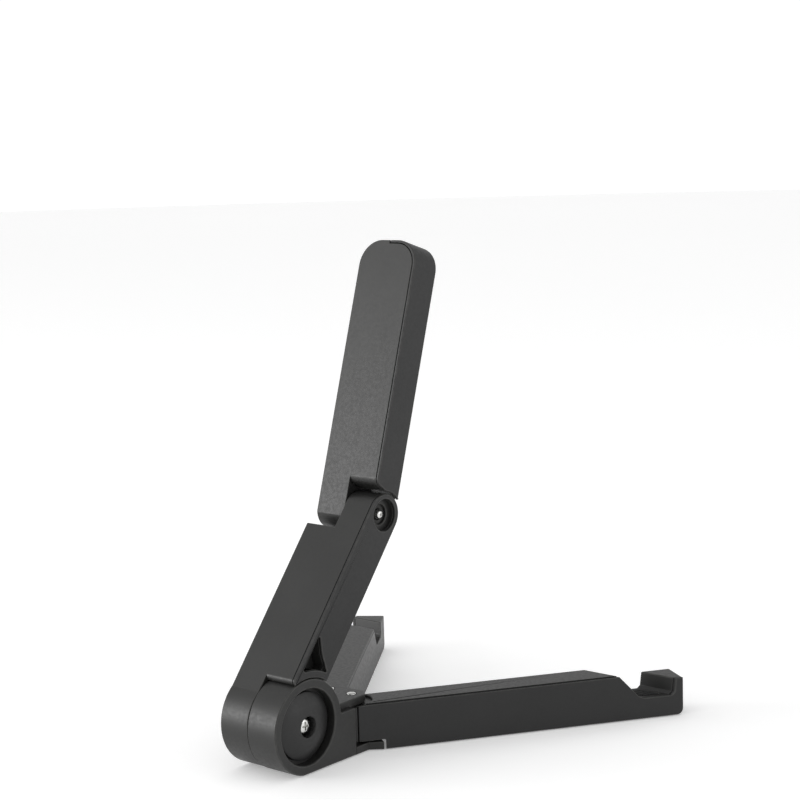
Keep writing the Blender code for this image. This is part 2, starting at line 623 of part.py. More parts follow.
def upper_arm(elbow_axis):
    """Box-shaped arm: lobe at the elbow at +X, round-cornered tip, and a cover on its -X side."""
    back_angle = math.degrees(math.acos(UPPER_BACK / LOBE_R))
    front_angle = math.degrees(math.acos(-UPPER_FRONT / LOBE_R))
    outline = [(UPPER_BACK, UPPER_LENGTH + 3), (UPPER_FRONT, UPPER_LENGTH + 3)]
    outline += arc((0, 0), LOBE_R, 180 + front_angle, 360 - back_angle)
    inner_x = -HALF_WIDTH + INNER_SIDE
    shell = node("upper_arm_shell", prism(outline, inner_x - 2, HALF_WIDTH, "X"), elbow_axis,
                 black_plastic, EDGE)
    face = [(inner_x, -20), (HALF_WIDTH + 2, -20), (HALF_WIDTH + 2, UPPER_LENGTH - TIP_CORNER_R)]
    face += tip_corner(1, 0)
    face += [(SPLIT, UPPER_LENGTH), (SPLIT, UPPER_LENGTH - INNER_SIDE)]
    face += tip_corner(-1, INNER_SIDE)[::-1]
    shape(shell, prism(face, -20, 20, "Y"), "INTERSECT")
    band = [(-HALF_WIDTH + COVER, 0), (-HALF_WIDTH, 0)] + tip_corner(-1, 0)
    band += [(-SPLIT, UPPER_LENGTH), (-SPLIT, UPPER_LENGTH - COVER)]
    band += tip_corner(-1, COVER)[::-1]
    cover = node("upper_arm_side_cover", prism(band, UPPER_FRONT, UPPER_BACK, "Y"), elbow_axis,
                 black_plastic, FINE_EDGE)
    bend = (UPPER_BACK - STEP_CORNER_R, STEP_BACK_S)
    step = [(UPPER_BACK + 3, STEP_BACK_S), (UPPER_BACK, STEP_BACK_S)]
    step += arc(bend, STEP_CORNER_R, 0, -STEP_CORNER_TURN)[1:]
    step += arc((0, 0), STEP_CLEAR_R, STEP_CLEAR_FROM, 180)
    step += [(-STEP_CLEAR_R, -20), (UPPER_BACK + 3, -20)]
    for piece in (shell, cover):
        shape(piece, prism(step, -HALF_WIDTH - 2, SPLIT, "X"))
    (near, far), (front, back) = UPPER_HOLLOW_S, UPPER_HOLLOW_N
    hollow = rounded((front, near), (back, far), HOLLOW_CORNER_R)
    shape(shell, prism(hollow, -HALF_WIDTH - 2, UPPER_HOLLOW_X, "X"))
    outside = HALF_WIDTH + 2
    bore_r = ELBOW_SCREW_R + GAP
    stack = [(-1, 0), (-1, ELBOW_DISC_R + GAP), (ELBOW_DISC_SEAT, ELBOW_DISC_R + GAP)]
    stack += [(ELBOW_DISC_SEAT, bore_r), (LOBE_POCKET, bore_r), (LOBE_POCKET, LOBE_POCKET_R)]
    stack += [(outside, LOBE_POCKET_R), (outside, 0)]
    shape(shell, turned(stack, "X"))
    (low_s, high_s), half = TIP_PAD_S, TIP_PAD_HALF
    seat = rounded((-half - GAP, low_s - GAP), (half + GAP, high_s + GAP),
                   TIP_PAD_CORNER_R + GAP)
    shape(shell, prism(seat, UPPER_FRONT - 2, UPPER_FRONT + TIP_PAD_SUNK + GAP, "Y"))

    pad = rounded((-half, low_s), (half, high_s), TIP_PAD_CORNER_R)
    node("arm_tip_pad", prism(pad, UPPER_FRONT - TIP_PAD_PROUD, UPPER_FRONT + TIP_PAD_SUNK, "Y"),
         elbow_axis, rubber)
    disc = ring(SPLIT, ELBOW_DISC_SEAT - GAP, ELBOW_DISC_R, ELBOW_SCREW_R + GAP)
    node("elbow_friction_disc", disc, elbow_axis, nylon)


def build():
    for old in list(bpy.data.objects):
        bpy.data.objects.remove(old, do_unlink=True)
    base = empty("hub", None, (0, HUB_Y, 0), (0, 0, 0))
    hub_axis = empty("hub_axis", base, (0, 0, HUB_AXIS_Z), (0, 0, 0))
    arm_axis = empty("arm_swing_axis", hub_axis, (0, 0, 0), (ARM_LEAN, 0, 0))
    elbow_axis = empty("elbow_axis", arm_axis, (0, ELBOW_N, ELBOW_S),
                       (UPPER_LEAN - ARM_LEAN, 0, 0))
    hub_block(base)
    hub_hardware(hub_axis)
    base_small_parts(base)
    lower_arm(arm_axis)
    elbow_hardware(arm_axis)
    upper_arm(elbow_axis)
    for side, name in ((-1, "left"), (1, "right")):
        pivot = empty(name + "_leg_axis", base, (side * PIN_X, -PIN_AHEAD, 0),
                      (0, 0, side * LEG_SPREAD))
        leg(side, name, pivot)


build()
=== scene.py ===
"""Looks for the folding tablet stand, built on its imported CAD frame.

Pieces are modelled in millimetres in the frame of the bar they belong to, then placed in the
world by the joints of the frame. A length with the same name in the CAD part has the same value,
except CAP_R, BARREL_CLEAR_R and where CHANNEL_S starts. The rub ring on the lower arm, the seam
along each leg and the grip lines in the rubber are added. The hollows of the legs and arms are
left out.
"""
import json
import math

import bmesh
import bpy
from mathutils import Matrix, Vector

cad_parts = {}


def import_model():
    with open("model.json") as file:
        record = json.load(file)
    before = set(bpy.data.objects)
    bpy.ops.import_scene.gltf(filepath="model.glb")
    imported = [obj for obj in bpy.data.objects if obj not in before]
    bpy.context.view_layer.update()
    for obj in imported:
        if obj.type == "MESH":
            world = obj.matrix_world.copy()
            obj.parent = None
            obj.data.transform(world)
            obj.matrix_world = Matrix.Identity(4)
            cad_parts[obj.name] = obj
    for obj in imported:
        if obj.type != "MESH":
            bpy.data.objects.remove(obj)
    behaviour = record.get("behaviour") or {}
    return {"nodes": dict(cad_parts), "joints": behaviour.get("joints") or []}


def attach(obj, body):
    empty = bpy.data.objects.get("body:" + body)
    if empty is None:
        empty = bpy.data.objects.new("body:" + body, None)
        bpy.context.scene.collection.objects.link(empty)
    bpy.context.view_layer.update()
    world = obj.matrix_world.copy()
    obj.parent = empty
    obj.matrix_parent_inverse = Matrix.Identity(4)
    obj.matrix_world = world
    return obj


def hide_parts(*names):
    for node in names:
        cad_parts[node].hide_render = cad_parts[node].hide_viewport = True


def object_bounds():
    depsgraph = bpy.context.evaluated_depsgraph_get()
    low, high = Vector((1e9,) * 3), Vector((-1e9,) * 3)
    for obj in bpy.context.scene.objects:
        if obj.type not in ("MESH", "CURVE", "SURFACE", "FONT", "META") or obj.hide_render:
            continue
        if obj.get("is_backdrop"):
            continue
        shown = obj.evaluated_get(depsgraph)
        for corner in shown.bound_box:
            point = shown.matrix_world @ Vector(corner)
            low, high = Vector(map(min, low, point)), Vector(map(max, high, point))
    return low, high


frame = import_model()
SIZE_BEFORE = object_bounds()

MM = 0.001

# ---- Dimensions of the stand, millimetres and degrees ----
HALF_WIDTH = 12.6
SPLIT = 0.15
GAP = 0.3
FOOT_LIFT = 0.3
COVER = 0.9
INNER_SIDE = COVER + GAP
CHORD_ERROR = 0.006
OVERSHOOT = 20             # how far a cutting solid reaches past the part

NEAR = 0.1                 # how close to a face an edge counts as lying on it

# Mesh clean-up, and the angles in degrees from which an edge is rounded and shaded sharp
WELD, SLIVER = 0.002, 0.001
ROUND_ANGLE, SHARP_ANGLE, ROUND_SEGMENTS = 28, 38, 3

# Widths of the rounding at edges
SOFT_EDGE, COVER_EDGE, COVER_INNER_EDGE, INNER_EDGE = 0.4, 0.38, 0.12, 0.1
CAP_SEAT_EDGE, BARREL_EDGE, HUB_EDGE, HUB_SIDE_EDGE = 0.55, 0.5, 0.3, 0.2
LOWER_END_EDGE, DISC_EDGE, RING_EDGE, TIP_EDGE, STEP_EDGE = 0.75, 0.15, 0.04, 0.18, 0.3
HUB_PAD_EDGE, LEG_PAD_EDGE, HOOK_PAD_EDGE, TIP_PAD_EDGE = 0.18, 0.15, 0.1, 0.16
HUB_SCREW_EDGE, ELBOW_SCREW_EDGE = 0.07, 0.04

ARM_LEAN = 39.0
UPPER_LEAN = 17.3
LEG_SPREAD = 34.0
HUB_AXIS_Z = 16.0
ELBOW_S, ELBOW_N = 75.3, 8.2
PIN_X, PIN_AHEAD = 5.0, 29.5

HUB_R = 16.0
BLOCK_AHEAD = 23.0
BLOCK_TOP = 16.7
CHEEK_R = 15.8
CAP_RECESS_R, CAP_RECESS_FLOOR = 12.8, -9.0
CAP_R, CAP_HOLE_R, CAP_DOME = 11.5, 3.5, 2.2
CAP_SUNK, CAP_RIM_DROP, CAP_CHAMFER = 0.12, 0.4, (0.1, 0.4)
CAP_ROLL, CAP_ROLL_TURN, CAP_LIP = 0.5, -70, 0.35
HUB_SCREW_R, HUB_HEAD_R, HUB_HEAD_TALL, HUB_HEAD_SEAT = 1.6, 2.75, 3.3, -7.5
HUB_SCREW_END, HUB_RECESS = 10.1, (1.45, 0.34, 0.9)
DISC_SEAT, DISC_R = 1.65, 9.7
RING_X, RING_R, RING_BACK = -0.09, (11.0, 15.0), 2.0
NUT_POCKET, NUT_POCKET_R = 6.0, 5.6
HUB_PLUG_START, PLUG_CHAMFER, PLUG_ROLL, PLUG_SUNK = 10.6, 0.3, 0.6, 0.1
PLUG_DIMPLE_R, PLUG_DIMPLE = (2.1, 1.8), 0.25
HUB_PAD_AHEAD, HUB_PAD_HALF, HUB_PAD_CORNER_R, PAD_SUNK = (8.0, 20.0), 8.0, 2.0, 0.7
HUB_GRIP_Y, HUB_GRIP_MARGIN = (-17.4, -15.2, -13.0, -10.8), 1.6
HUB_GRIP_HALF, HUB_GRIP_DEPTH = 0.3, 0.2

# Screw heads: height of the dome, where its edge begins and ends, and the shank's end
HEAD_RISE, HEAD_CORNER, HEAD_TURN, HEAD_SIDE = 0.35, 0.25, (0.5, 0.05), 0.75
SHANK_CHAMFER, RECESS_CORNER_R = 0.4, 0.1

TOP_EAR = (16.1, 18.9)
BOTTOM_EAR_TOP = 3.0
TOP_EAR_HALF, TOP_EAR_REAR, TOP_LOBE_R = 10.2, 17.2, 4.7
BOTTOM_EAR_MIDDLE = 33.8
TAB_AHEAD = 9.2
PIN_R, PIN_HEAD_R, PIN_HEAD_SUNK = 1.25, 1.6, 0.5
PIN_BOTTOM, PIN_CHAMFER, PIN_CROWN_BASE, PIN_CROWN = 0.7, 0.3, 0.1, 0.39
PIN_WASHER_R, PIN_WASHER_TOP = 4.0, 4.1

LEG_OUT, LEG_IN = 7.6, 4.85
LEG_LENGTH, LEG_TOP, LIP_TOP = 119.7, 16.7, 13.7
COVER_DROP = 0.35
FOOT_PAD_S, FOOT_PAD_R = 107.0, 3.6
LEG_GRIP_REACH, LEG_GRIP_HALF, LEG_GRIP_DEPTH = 2.4, 0.25, 0.18
SEAM_DEPTH, SEAM_BELOW_TOP, SEAM_ZONE = 0.35, (1.15, 0.8), (1.3, 0.6)
TIP_ROUND, PLATE_CORNER_R = 2.3, 0.4
EAR_SWEEP_R, TOP_RECESS_R, TOP_RECESS_Z, UNDERCUT_TOP = 12.3, 7.2, 15.8, 3.8
NOTCH_START, NOTCH_CORNER = 104.3, (110.4, 8.8)
NOTCH_FLOOR_Z, NOTCH_FLOOR_START, NOTCH_FLOOR_END, NOTCH_LIP = 7.8, 112.2, 120.9, 122.3
NOTCH_LIP_FOOT, NOTCH_RADII = (0.5, 1.0), [0, 0.8, 0.8, 0.6, 0.8, 0, 0, 0]
NOTCH_ABOVE, NOTCH_BEYOND, NOTCH_ACROSS = 5.1, 25, (30, 100)
HOOK_INSET, HOOK_MARGIN, HOOK_CORNER_R, HOOK_PROUD = 1.0, 2.0, 0.5, 0.1
HOOK_PAD_LOW = 6.6
RIB_START, RIB_STEP, RIB_HALF, RIB_DEPTH, RIB_REACH = 2.7, 1.75, 0.25, 0.12, (65, 60)

LOWER_BACK, LOWER_FRONT, LOWER_TOP = 15.4, 1.0, 65.4
BARREL_CLEAR_R = 16.3
LOWER_END_S, LOWER_END_R = 8.4, 1.7
CHANNEL_HALF, CHANNEL_S, CHANNEL_BACK = 10.5, (16.9, 62.0), 3.8
WINDOW_ARC_R, WINDOW_BACK, WINDOW_APEX_S, WINDOW_LOW_N = 18.7, 13.3, 27.5, 2.4
WINDOW_WAIST, WINDOW_FLOOR, WINDOW_SILL, WINDOW_SILL_N = (8.3, 22.5), -7.0, -11.0, 4.2
WINDOW_BACK_R, WINDOW_FRONT_R, WINDOW_WAIST_R, WINDOW_TOP_R = 0.7, 0.4, 6.0, 0.6
WINDOW_LEDGE = 0.08
EAR_R, EAR_BORE_R, EAR_STEP_R = 7.2, 5.5, 3.4
EAR_STEPS_X = (-10.2, -9.2, -8.4)
ELBOW_SCREW_R, ELBOW_HEAD_R, ELBOW_HEAD_TALL = 1.1, 1.7, 2.2
ELBOW_SCREW_END, ELBOW_RECESS = 11.4, (0.7, 0.14, 0.3)

UPPER_BACK, UPPER_FRONT, UPPER_LENGTH = 6.5, -5.6, 94.2
LOBE_R, TIP_CORNER_R = 6.8, 9.0
STEP_BACK_S, STEP_CLEAR_R, STEP_CORNER_R, STEP_CORNER_TURN = 12.1, 8.2, 3.0, 72.0
STEP_CLEAR_FROM = 80
TIP_PAD_S, TIP_PAD_HALF, TIP_PAD_PROUD, TIP_PAD_SUNK = (76.0, 90.0), 7.5, 0.3, 0.9
TIP_PAD_CORNER_R = 2.0
TIP_GRIP_S, TIP_GRIP_MARGIN = (79.0, 81.67, 84.33, 87.0), 1.2
TIP_GRIP_HALF, TIP_GRIP_DEPTH = 0.35, 0.22
LOBE_POCKET, LOBE_POCKET_R = 7.5, 4.6
ELBOW_DISC_SEAT, ELBOW_DISC_R = 1.35, 5.0

# ---- Where each body's own frame stands, from the joints ----
AXES = {joint["name"]: Vector(joint["pos_m"]) for joint in frame["joints"]}
SPREAD = math.radians(LEG_SPREAD)


def standing(origin, degrees=0.0, axis="X"):
    """A frame at a joint, leaning as the bar does at rest."""
    return Matrix.Translation(origin) @ Matrix.Rotation(math.radians(degrees), 4, axis)


HUB = standing(AXES["arm_swing"])
FLOOR = standing(AXES["arm_swing"] - Vector((0, 0, HUB_AXIS_Z)) * MM)
LOWER = standing(AXES["arm_swing"], ARM_LEAN)
UPPER = standing(AXES["elbow_fold"], UPPER_LEAN)
LEG = {side: standing(AXES[name + "_leg_swing"], side * LEG_SPREAD, "Z")
       for side, name in ((-1, "left"), (1, "right"))}


# ---- Outlines ----

def arc(centre, radius, start, end):
    """Points round a circle, closer together on large circles."""
    step = 2 * math.degrees(math.acos(1 - CHORD_ERROR / radius))
    count = max(3, math.ceil(abs(end - start) / step))
    points = []
    for i in range(count + 1):
        angle = math.radians(start + (end - start) * i / count)
        points.append((centre[0] + radius * math.cos(angle), centre[1] + radius * math.sin(angle)))
    return points


def circle(centre, radius):
    return arc(centre, radius, 0, 360)[:-1]


def rectangle(low, high):
    return [low, (high[0], low[1]), high, (low[0], high[1])]


def filleted(points, radii):
    """A polygon whose corners are rounded, each by its own radius."""
    out = []
    for i, radius in enumerate(radii):
        corner = Vector(points[i])
        before = (Vector(points[i - 1]) - corner).normalized()
        after = (Vector(points[(i + 1) % len(points)]) - corner).normalized()
        if radius <= 0:
            out.append(tuple(corner))
            continue
        half = before.angle(after) / 2
        centre = corner + (before + after).normalized() * radius / math.sin(half)
        one = corner + before * radius / math.tan(half) - centre
        two = corner + after * radius / math.tan(half) - centre
        start = math.degrees(math.atan2(one.y, one.x))
        turn = math.degrees(math.atan2(one.x * two.y - one.y * two.x, one.dot(two)))
        out += arc(centre, radius, start, start + turn)
    return out


def rounded(low, high, radius):
    return filleted(rectangle(low, high), [radius] * 4)


# ---- Solids ----

def prism(outline, low, high, axis):
    """An outline pushed along an axis. The outline's pair is the other two axes in order."""
    order = {"X": (2, 0, 1), "Y": (0, 2, 1), "Z": (0, 1, 2)}[axis]
    bm = bmesh.new()
    ends = []
    for level in (low, high):
        end = []
        for a, b in outline:
            values = (a, b, level)
            end.append(bm.verts.new([values[i] for i in order]))
        ends.append(end)
    bm.faces.new(ends[0])
    bm.faces.new(ends[1])
    for i in range(len(outline)):
        j = (i + 1) % len(outline)
        bm.faces.new((ends[0][i], ends[0][j], ends[1][j], ends[1][i]))
    bmesh.ops.recalc_face_normals(bm, faces=bm.faces)
    return bm


def turned(profile, axis="X", steps=64, centre=(0, 0, 0)):
    """A loop of (along, radius) points turned round an axis. Radius 0 closes the end."""
    turn = Matrix.Rotation(math.radians(90), 3, "Y") if axis == "X" else Matrix.Identity(3)
    bm = bmesh.new()
    rings = []
    for along, radius in profile:
        ring = []
        for i in range(steps if radius > 0 else 1):
            angle = 2 * math.pi * i / steps
            point = Vector((radius * math.cos(angle), radius * math.sin(angle), along))
            ring.append(bm.verts.new(turn @ point + Vector(centre)))
        rings.append(ring)
    open_ended = len(rings[0]) == 1 and len(rings[-1]) == 1
    for k in range(len(rings) - (1 if open_ended else 0)):
        one, two = rings[k], rings[(k + 1) % len(rings)]
        for i in range(steps):
            j = (i + 1) % steps
            corners = [one[i % len(one)], one[j % len(one)], two[j % len(two)], two[i % len(two)]]
            bm.faces.new(list(dict.fromkeys(corners)))
    bmesh.ops.recalc_face_normals(bm, faces=bm.faces)
    return bm


def linked(name, bm):
    mesh = bpy.data.meshes.new(name)
    bm.to_mesh(mesh)
    bm.free()
    made = bpy.data.objects.new(name, mesh)
    bpy.context.scene.collection.objects.link(made)
    return made


def applied(target):
    """The mesh of an object with its modifiers, as a new mesh. The object goes."""
    graph = bpy.context.evaluated_depsgraph_get()
    mesh = bpy.data.meshes.new_from_object(
        target.evaluated_get(graph), preserve_all_data_layers=True, depsgraph=graph)
    bpy.data.objects.remove(target, do_unlink=True)
    return mesh


def carved(body, tools):
    """A solid after its cuts and joins."""
    target = linked("body", body)
    made = []
    for operation, tool in tools:
        other = linked("tool", tool)
        modifier = target.modifiers.new("shape", "BOOLEAN")
        modifier.operation = operation
        modifier.object = other
        modifier.solver = "EXACT"
        made.append(other)
    mesh = applied(target)
    for other in made:
        bpy.data.objects.remove(other, do_unlink=True)
    bm = bmesh.new()
    bm.from_mesh(mesh)
    bpy.data.meshes.remove(mesh)
    bmesh.ops.remove_doubles(bm, verts=bm.verts, dist=WELD)
    bmesh.ops.recalc_face_normals(bm, faces=bm.faces)
    return bm


def cut(*solids):
    return [("DIFFERENCE", solid) for solid in solids]


# ---- Pieces ----

def piece(name, bm, place, body, node, material, edge=None):
    """Rounds the sharp outer edges, drops slivers, places the piece and hangs it on its body.

    edge gives the rounding in millimetres at an edge's middle point.
    """
    if edge:
        weights = bm.edges.layers.float.new("bevel_weight_edge")
        widths = {}
        sharp_enough = math.radians(ROUND_ANGLE)
        for e in bm.edges:
            if len(e.link_faces) == 2 and e.is_convex and e.calc_face_angle() > sharp_enough:
                widths[e] = edge((e.verts[0].co + e.verts[1].co) / 2)
        widest = max(widths.values())
        for e, width in widths.items():
            e[weights] = width / widest
    target = linked(name + "_raw", bm)
    target.data.shade_smooth()
    if edge:
        target.data.materials.append(material)
        target.data.materials.append(material)
        bevel = target.modifiers.new("edges", "BEVEL")
        bevel.width = widest
        bevel.segments = ROUND_SEGMENTS
        bevel.limit_method = "WEIGHT"
        bevel.use_clamp_overlap = False
        bevel.material = 1
    mesh = applied(target)
    clean = bmesh.new()
    clean.from_mesh(mesh)
    bmesh.ops.remove_doubles(clean, verts=clean.verts, dist=SLIVER)
    bmesh.ops.dissolve_degenerate(clean, edges=clean.edges, dist=SLIVER)
    clean.to_mesh(mesh)
    clean.free()
    # Marks the bevel faces, where the material paints a paler edge highlight.
    edge_highlight = mesh.attributes.new("edge_highlight", "FLOAT", "FACE")
    edge_highlight.data.foreach_set("value", [float(face.material_index == 1) for face in mesh.polygons])
    mesh.polygons.foreach_set("material_index", [0] * len(mesh.polygons))
    mesh.materials.clear()
    mesh.materials.append(material)
    mesh.transform(place @ Matrix.Scale(MM, 4))
    mesh.set_sharp_from_angle(angle=math.radians(SHARP_ANGLE))
    made = bpy.data.objects.new(name, mesh)
    bpy.context.scene.collection.objects.link(made)
    normals = made.modifiers.new("normals", "WEIGHTED_NORMAL")
    normals.keep_sharp = True
    made.data = applied_normals(made)
    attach(made, body)
    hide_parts(node)
    return made


def applied_normals(made):
    """The object's mesh with its weighted normals kept."""
    graph = bpy.context.evaluated_depsgraph_get()
    mesh = bpy.data.meshes.new_from_object(
        made.evaluated_get(graph), preserve_all_data_layers=True, depsgraph=graph)
    made.modifiers.clear()
    mesh.name = made.name
    return mesh


# ---- Materials ----

# Noise scales; the third one breaks up the painted highlight on bevelled edges.
CLOUD_SCALE, SPECK_SCALE, HIGHLIGHT_NOISE_SCALE, POLISH_SCALE = 70.0, 2600.0, 420.0, 900.0
NOISE_LOW, NOISE_HIGH = 0.35, 0.65     # the part of a noise's range that is stretched
# The first value is the least strength of the painted edge highlight.
HIGHLIGHT_LEAST, SMOOTHER, ROUGHER = 0.45, 0.04, 0.05
GRAIN_HEIGHT = 0.00006                 # metres
PLASTIC_SPECULAR = 0.4
MIX_ONE, MIX_TWO, MIX_RESULT = 6, 7, 2    # the Mix node's colour sockets


def socket(node, name, value):
    node.inputs[name].default_value = value


def moulded(name, dark, light, highlight_tone, rough, grain):
    """Injection-moulded plastic: cloudy tone, fine spark grain, and a painted highlight: a paler
    colour on the bevelled edges, broken up by noise.
    """
    made = bpy.data.materials.new(name)
    made.use_nodes = True
    nodes, links = made.node_tree.nodes, made.node_tree.links
    shader = nodes["Principled BSDF"]
    coords = nodes.new("ShaderNodeTexCoord")

    def noise(scale, detail):
        made_noise = nodes.new("ShaderNodeTexNoise")
        socket(made_noise, "Scale", scale)
        socket(made_noise, "Detail", detail)
        links.new(coords.outputs["Object"], made_noise.inputs["Vector"])
        return made_noise.outputs["Fac"]

    def ramp(source, low, high):
        mapped = nodes.new("ShaderNodeMapRange")
        socket(mapped, "From Min", NOISE_LOW)
        socket(mapped, "From Max", NOISE_HIGH)
        socket(mapped, "To Min", low)
        socket(mapped, "To Max", high)
        links.new(source, mapped.inputs["Value"])
        return mapped.outputs["Result"]

    def mixed(factor, one, two):
        mix = nodes.new("ShaderNodeMix")
        mix.data_type = "RGBA"
        for index, side in ((MIX_ONE, one), (MIX_TWO, two)):
            if isinstance(side, tuple):
                mix.inputs[index].default_value = (*side, 1.0)
            else:
                links.new(side, mix.inputs[index])
        links.new(factor, mix.inputs[0])
        return mix.outputs[MIX_RESULT]

    def times(one, two):
        product = nodes.new("ShaderNodeMath")
        product.operation = "MULTIPLY"
        links.new(one, product.inputs[0])
        links.new(two, product.inputs[1])
        return product.outputs[0]

    cloud = ramp(noise(CLOUD_SCALE, 4.0), 0.0, 1.0)
    speck = noise(SPECK_SCALE, 3.0)
    # On the bevel faces the tone is mixed towards a paler colour: a painted highlight along the
    # edges, broken up by noise.
    edge_highlight = nodes.new("ShaderNodeAttribute")
    edge_highlight.attribute_name = "edge_highlight"
    highlight_mask = times(edge_highlight.outputs["Fac"], ramp(noise(HIGHLIGHT_NOISE_SCALE, 3.0), HIGHLIGHT_LEAST, 1.0))
    tone = mixed(cloud, dark, light)
    links.new(mixed(highlight_mask, tone, highlight_tone), shader.inputs["Base Color"])
    polish = ramp(noise(POLISH_SCALE, 4.0), rough - SMOOTHER, rough + ROUGHER)
    links.new(polish, shader.inputs["Roughness"])
    bump = nodes.new("ShaderNodeBump")
    socket(bump, "Strength", grain)
    socket(bump, "Distance", GRAIN_HEIGHT)
    links.new(speck, bump.inputs["Height"])
    links.new(bump.outputs["Normal"], shader.inputs["Normal"])
    return made


def metal(name, colour, rough):
    """Plated steel: cloudy tone, fine grain and a slightly uneven polish."""
    # The third colour is the painted highlight on the bevelled edges.
    made = moulded(name, colour, tuple(c * 0.86 for c in colour), (0.9, 0.9, 0.88), rough, 0.08)
    socket(made.node_tree.nodes["Principled BSDF"], "Metallic", 1.0)
    return made


# The third colour of each finish is the painted highlight on its bevelled edges.
SHELL = moulded("shell_plastic", (0.0125, 0.0125, 0.0118), (0.0155, 0.0155, 0.0148),
                (0.034, 0.034, 0.032), 0.43, 0.12)
# The side-facing pieces get a darker copy of the shell plastic: painted shade on the side faces.
SHADED_SIDE_PLASTIC = moulded("cover_plastic", (0.0090, 0.0090, 0.0090), (0.0110, 0.0110, 0.0110),
               (0.040, 0.040, 0.038), 0.45, 0.10)
RUBBER = moulded("rubber", (0.006, 0.006, 0.006), (0.010, 0.010, 0.010),
                 (0.014, 0.014, 0.014), 0.84, 0.5)
STEEL = metal("steel", (0.78, 0.78, 0.76), 0.2)
NYLON = moulded("nylon", (0.10, 0.10, 0.105), (0.14, 0.14, 0.145), (0.18, 0.18, 0.18), 0.55, 0.15)
for finish in (SHELL, SHADED_SIDE_PLASTIC):
    socket(finish.node_tree.nodes["Principled BSDF"], "Specular IOR Level", PLASTIC_SPECULAR)


# ---- Hub ----

def leg_point(side, u, s):
    """A point of an open leg, seen from above: x, and y from the hub axis."""
    x = PIN_X + s * math.sin(SPREAD) + u * math.cos(SPREAD)
    y = -PIN_AHEAD - s * math.cos(SPREAD) + u * math.sin(SPREAD)
    return (side * x, y)


def top_ear():
    """The raised plate over the leg pins."""
    points = arc((PIN_X, -PIN_AHEAD), TOP_LOBE_R, -90, 0)
    points += [(TOP_EAR_HALF, -TOP_EAR_REAR), (-TOP_EAR_HALF, -TOP_EAR_REAR)]
    points += arc((-PIN_X, -PIN_AHEAD), TOP_LOBE_R, 180, 270)
    return prism(points, *TOP_EAR, "Z")


def bottom_ear():
    """The plate under the leg knuckles, with a tab along each open leg."""
    inset = HALF_WIDTH - 0.02
    right = [(inset, -BLOCK_AHEAD + 3.0), (inset, -PIN_AHEAD)]
    right += [leg_point(1, LEG_OUT, TAB_AHEAD), leg_point(1, -LEG_IN, TAB_AHEAD),
              (0, -BOTTOM_EAR_MIDDLE)]
    left = [(-x, y) for x, y in reversed(right[:-1])]
    return prism(right + left, FOOT_LIFT + 0.01, BOTTOM_EAR_TOP, "Z")


def hub_block():
    top_angle = math.degrees(math.asin((BLOCK_TOP - HUB_AXIS_Z) / HUB_R))
    foot_angle = math.degrees(math.asin((HUB_AXIS_Z - FOOT_LIFT) / HUB_R))
    outline = [(-BLOCK_AHEAD, FOOT_LIFT), (-BLOCK_AHEAD, BLOCK_TOP)]
    outline += arc((0, HUB_AXIS_Z), HUB_R, 180 - top_angle, -foot_angle)
    seat = [(-OVERSHOOT, 0), (-OVERSHOOT, CAP_RECESS_R), (CAP_RECESS_FLOOR, CAP_RECESS_R)]
    seat += [(CAP_RECESS_FLOOR, HUB_HEAD_R + GAP), (HUB_HEAD_SEAT, HUB_HEAD_R + GAP)]
    seat += [(HUB_HEAD_SEAT, HUB_SCREW_R + GAP), (2, HUB_SCREW_R + GAP), (2, 0)]
    tools = cut(
        prism(circle((0, HUB_AXIS_Z), CHEEK_R + GAP), -SPLIT, OVERSHOOT, "X"),
        prism(rectangle((-BLOCK_AHEAD + 1, BLOCK_TOP + 0.01), (0, 40)),
              -SPLIT, OVERSHOOT, "X"),
        turned(seat, steps=96, centre=(0, 0, HUB_AXIS_Z)))
    for side in (-1, 1):
        tools += cut(prism(circle((side * PIN_X, -PIN_AHEAD), LEG_OUT + GAP),
                           BOTTOM_EAR_TOP, BLOCK_TOP + 2, "Z"))
    tools += [("UNION", top_ear()), ("UNION", bottom_ear())]
    for side in (-1, 1):
        centre = (side * PIN_X, -PIN_AHEAD)
        tools += cut(prism(circle(centre, PIN_R + GAP), -1, 22, "Z"),
                     prism(circle(centre, PIN_HEAD_R + GAP), TOP_EAR[1] - PIN_HEAD_SUNK - GAP,
                           22, "Z"))
    near, far = HUB_PAD_AHEAD
    tools += cut(prism(rounded((-HUB_PAD_HALF - GAP, -far - GAP), (HUB_PAD_HALF + GAP, -near + GAP),
                               HUB_PAD_CORNER_R + GAP), -1, FOOT_LIFT + PAD_SUNK + GAP, "Z"))

    def edge(at):
        reach = math.hypot(at.y, at.z - HUB_AXIS_Z)
        outside = at.x < -HALF_WIDTH + NEAR
        if outside and abs(reach - CAP_RECESS_R) < 0.3:
            return CAP_SEAT_EDGE
        if outside and at.y > -HUB_R:
            return BARREL_EDGE
        if reach < 9 or at.x > HALF_WIDTH - NEAR:
            return HUB_SIDE_EDGE
        return HUB_EDGE

    piece("hub_block_body", carved(prism(outline, -HALF_WIDTH, HALF_WIDTH, "X"), tools), FLOOR,
          "base", "hub_block", SHELL, edge)


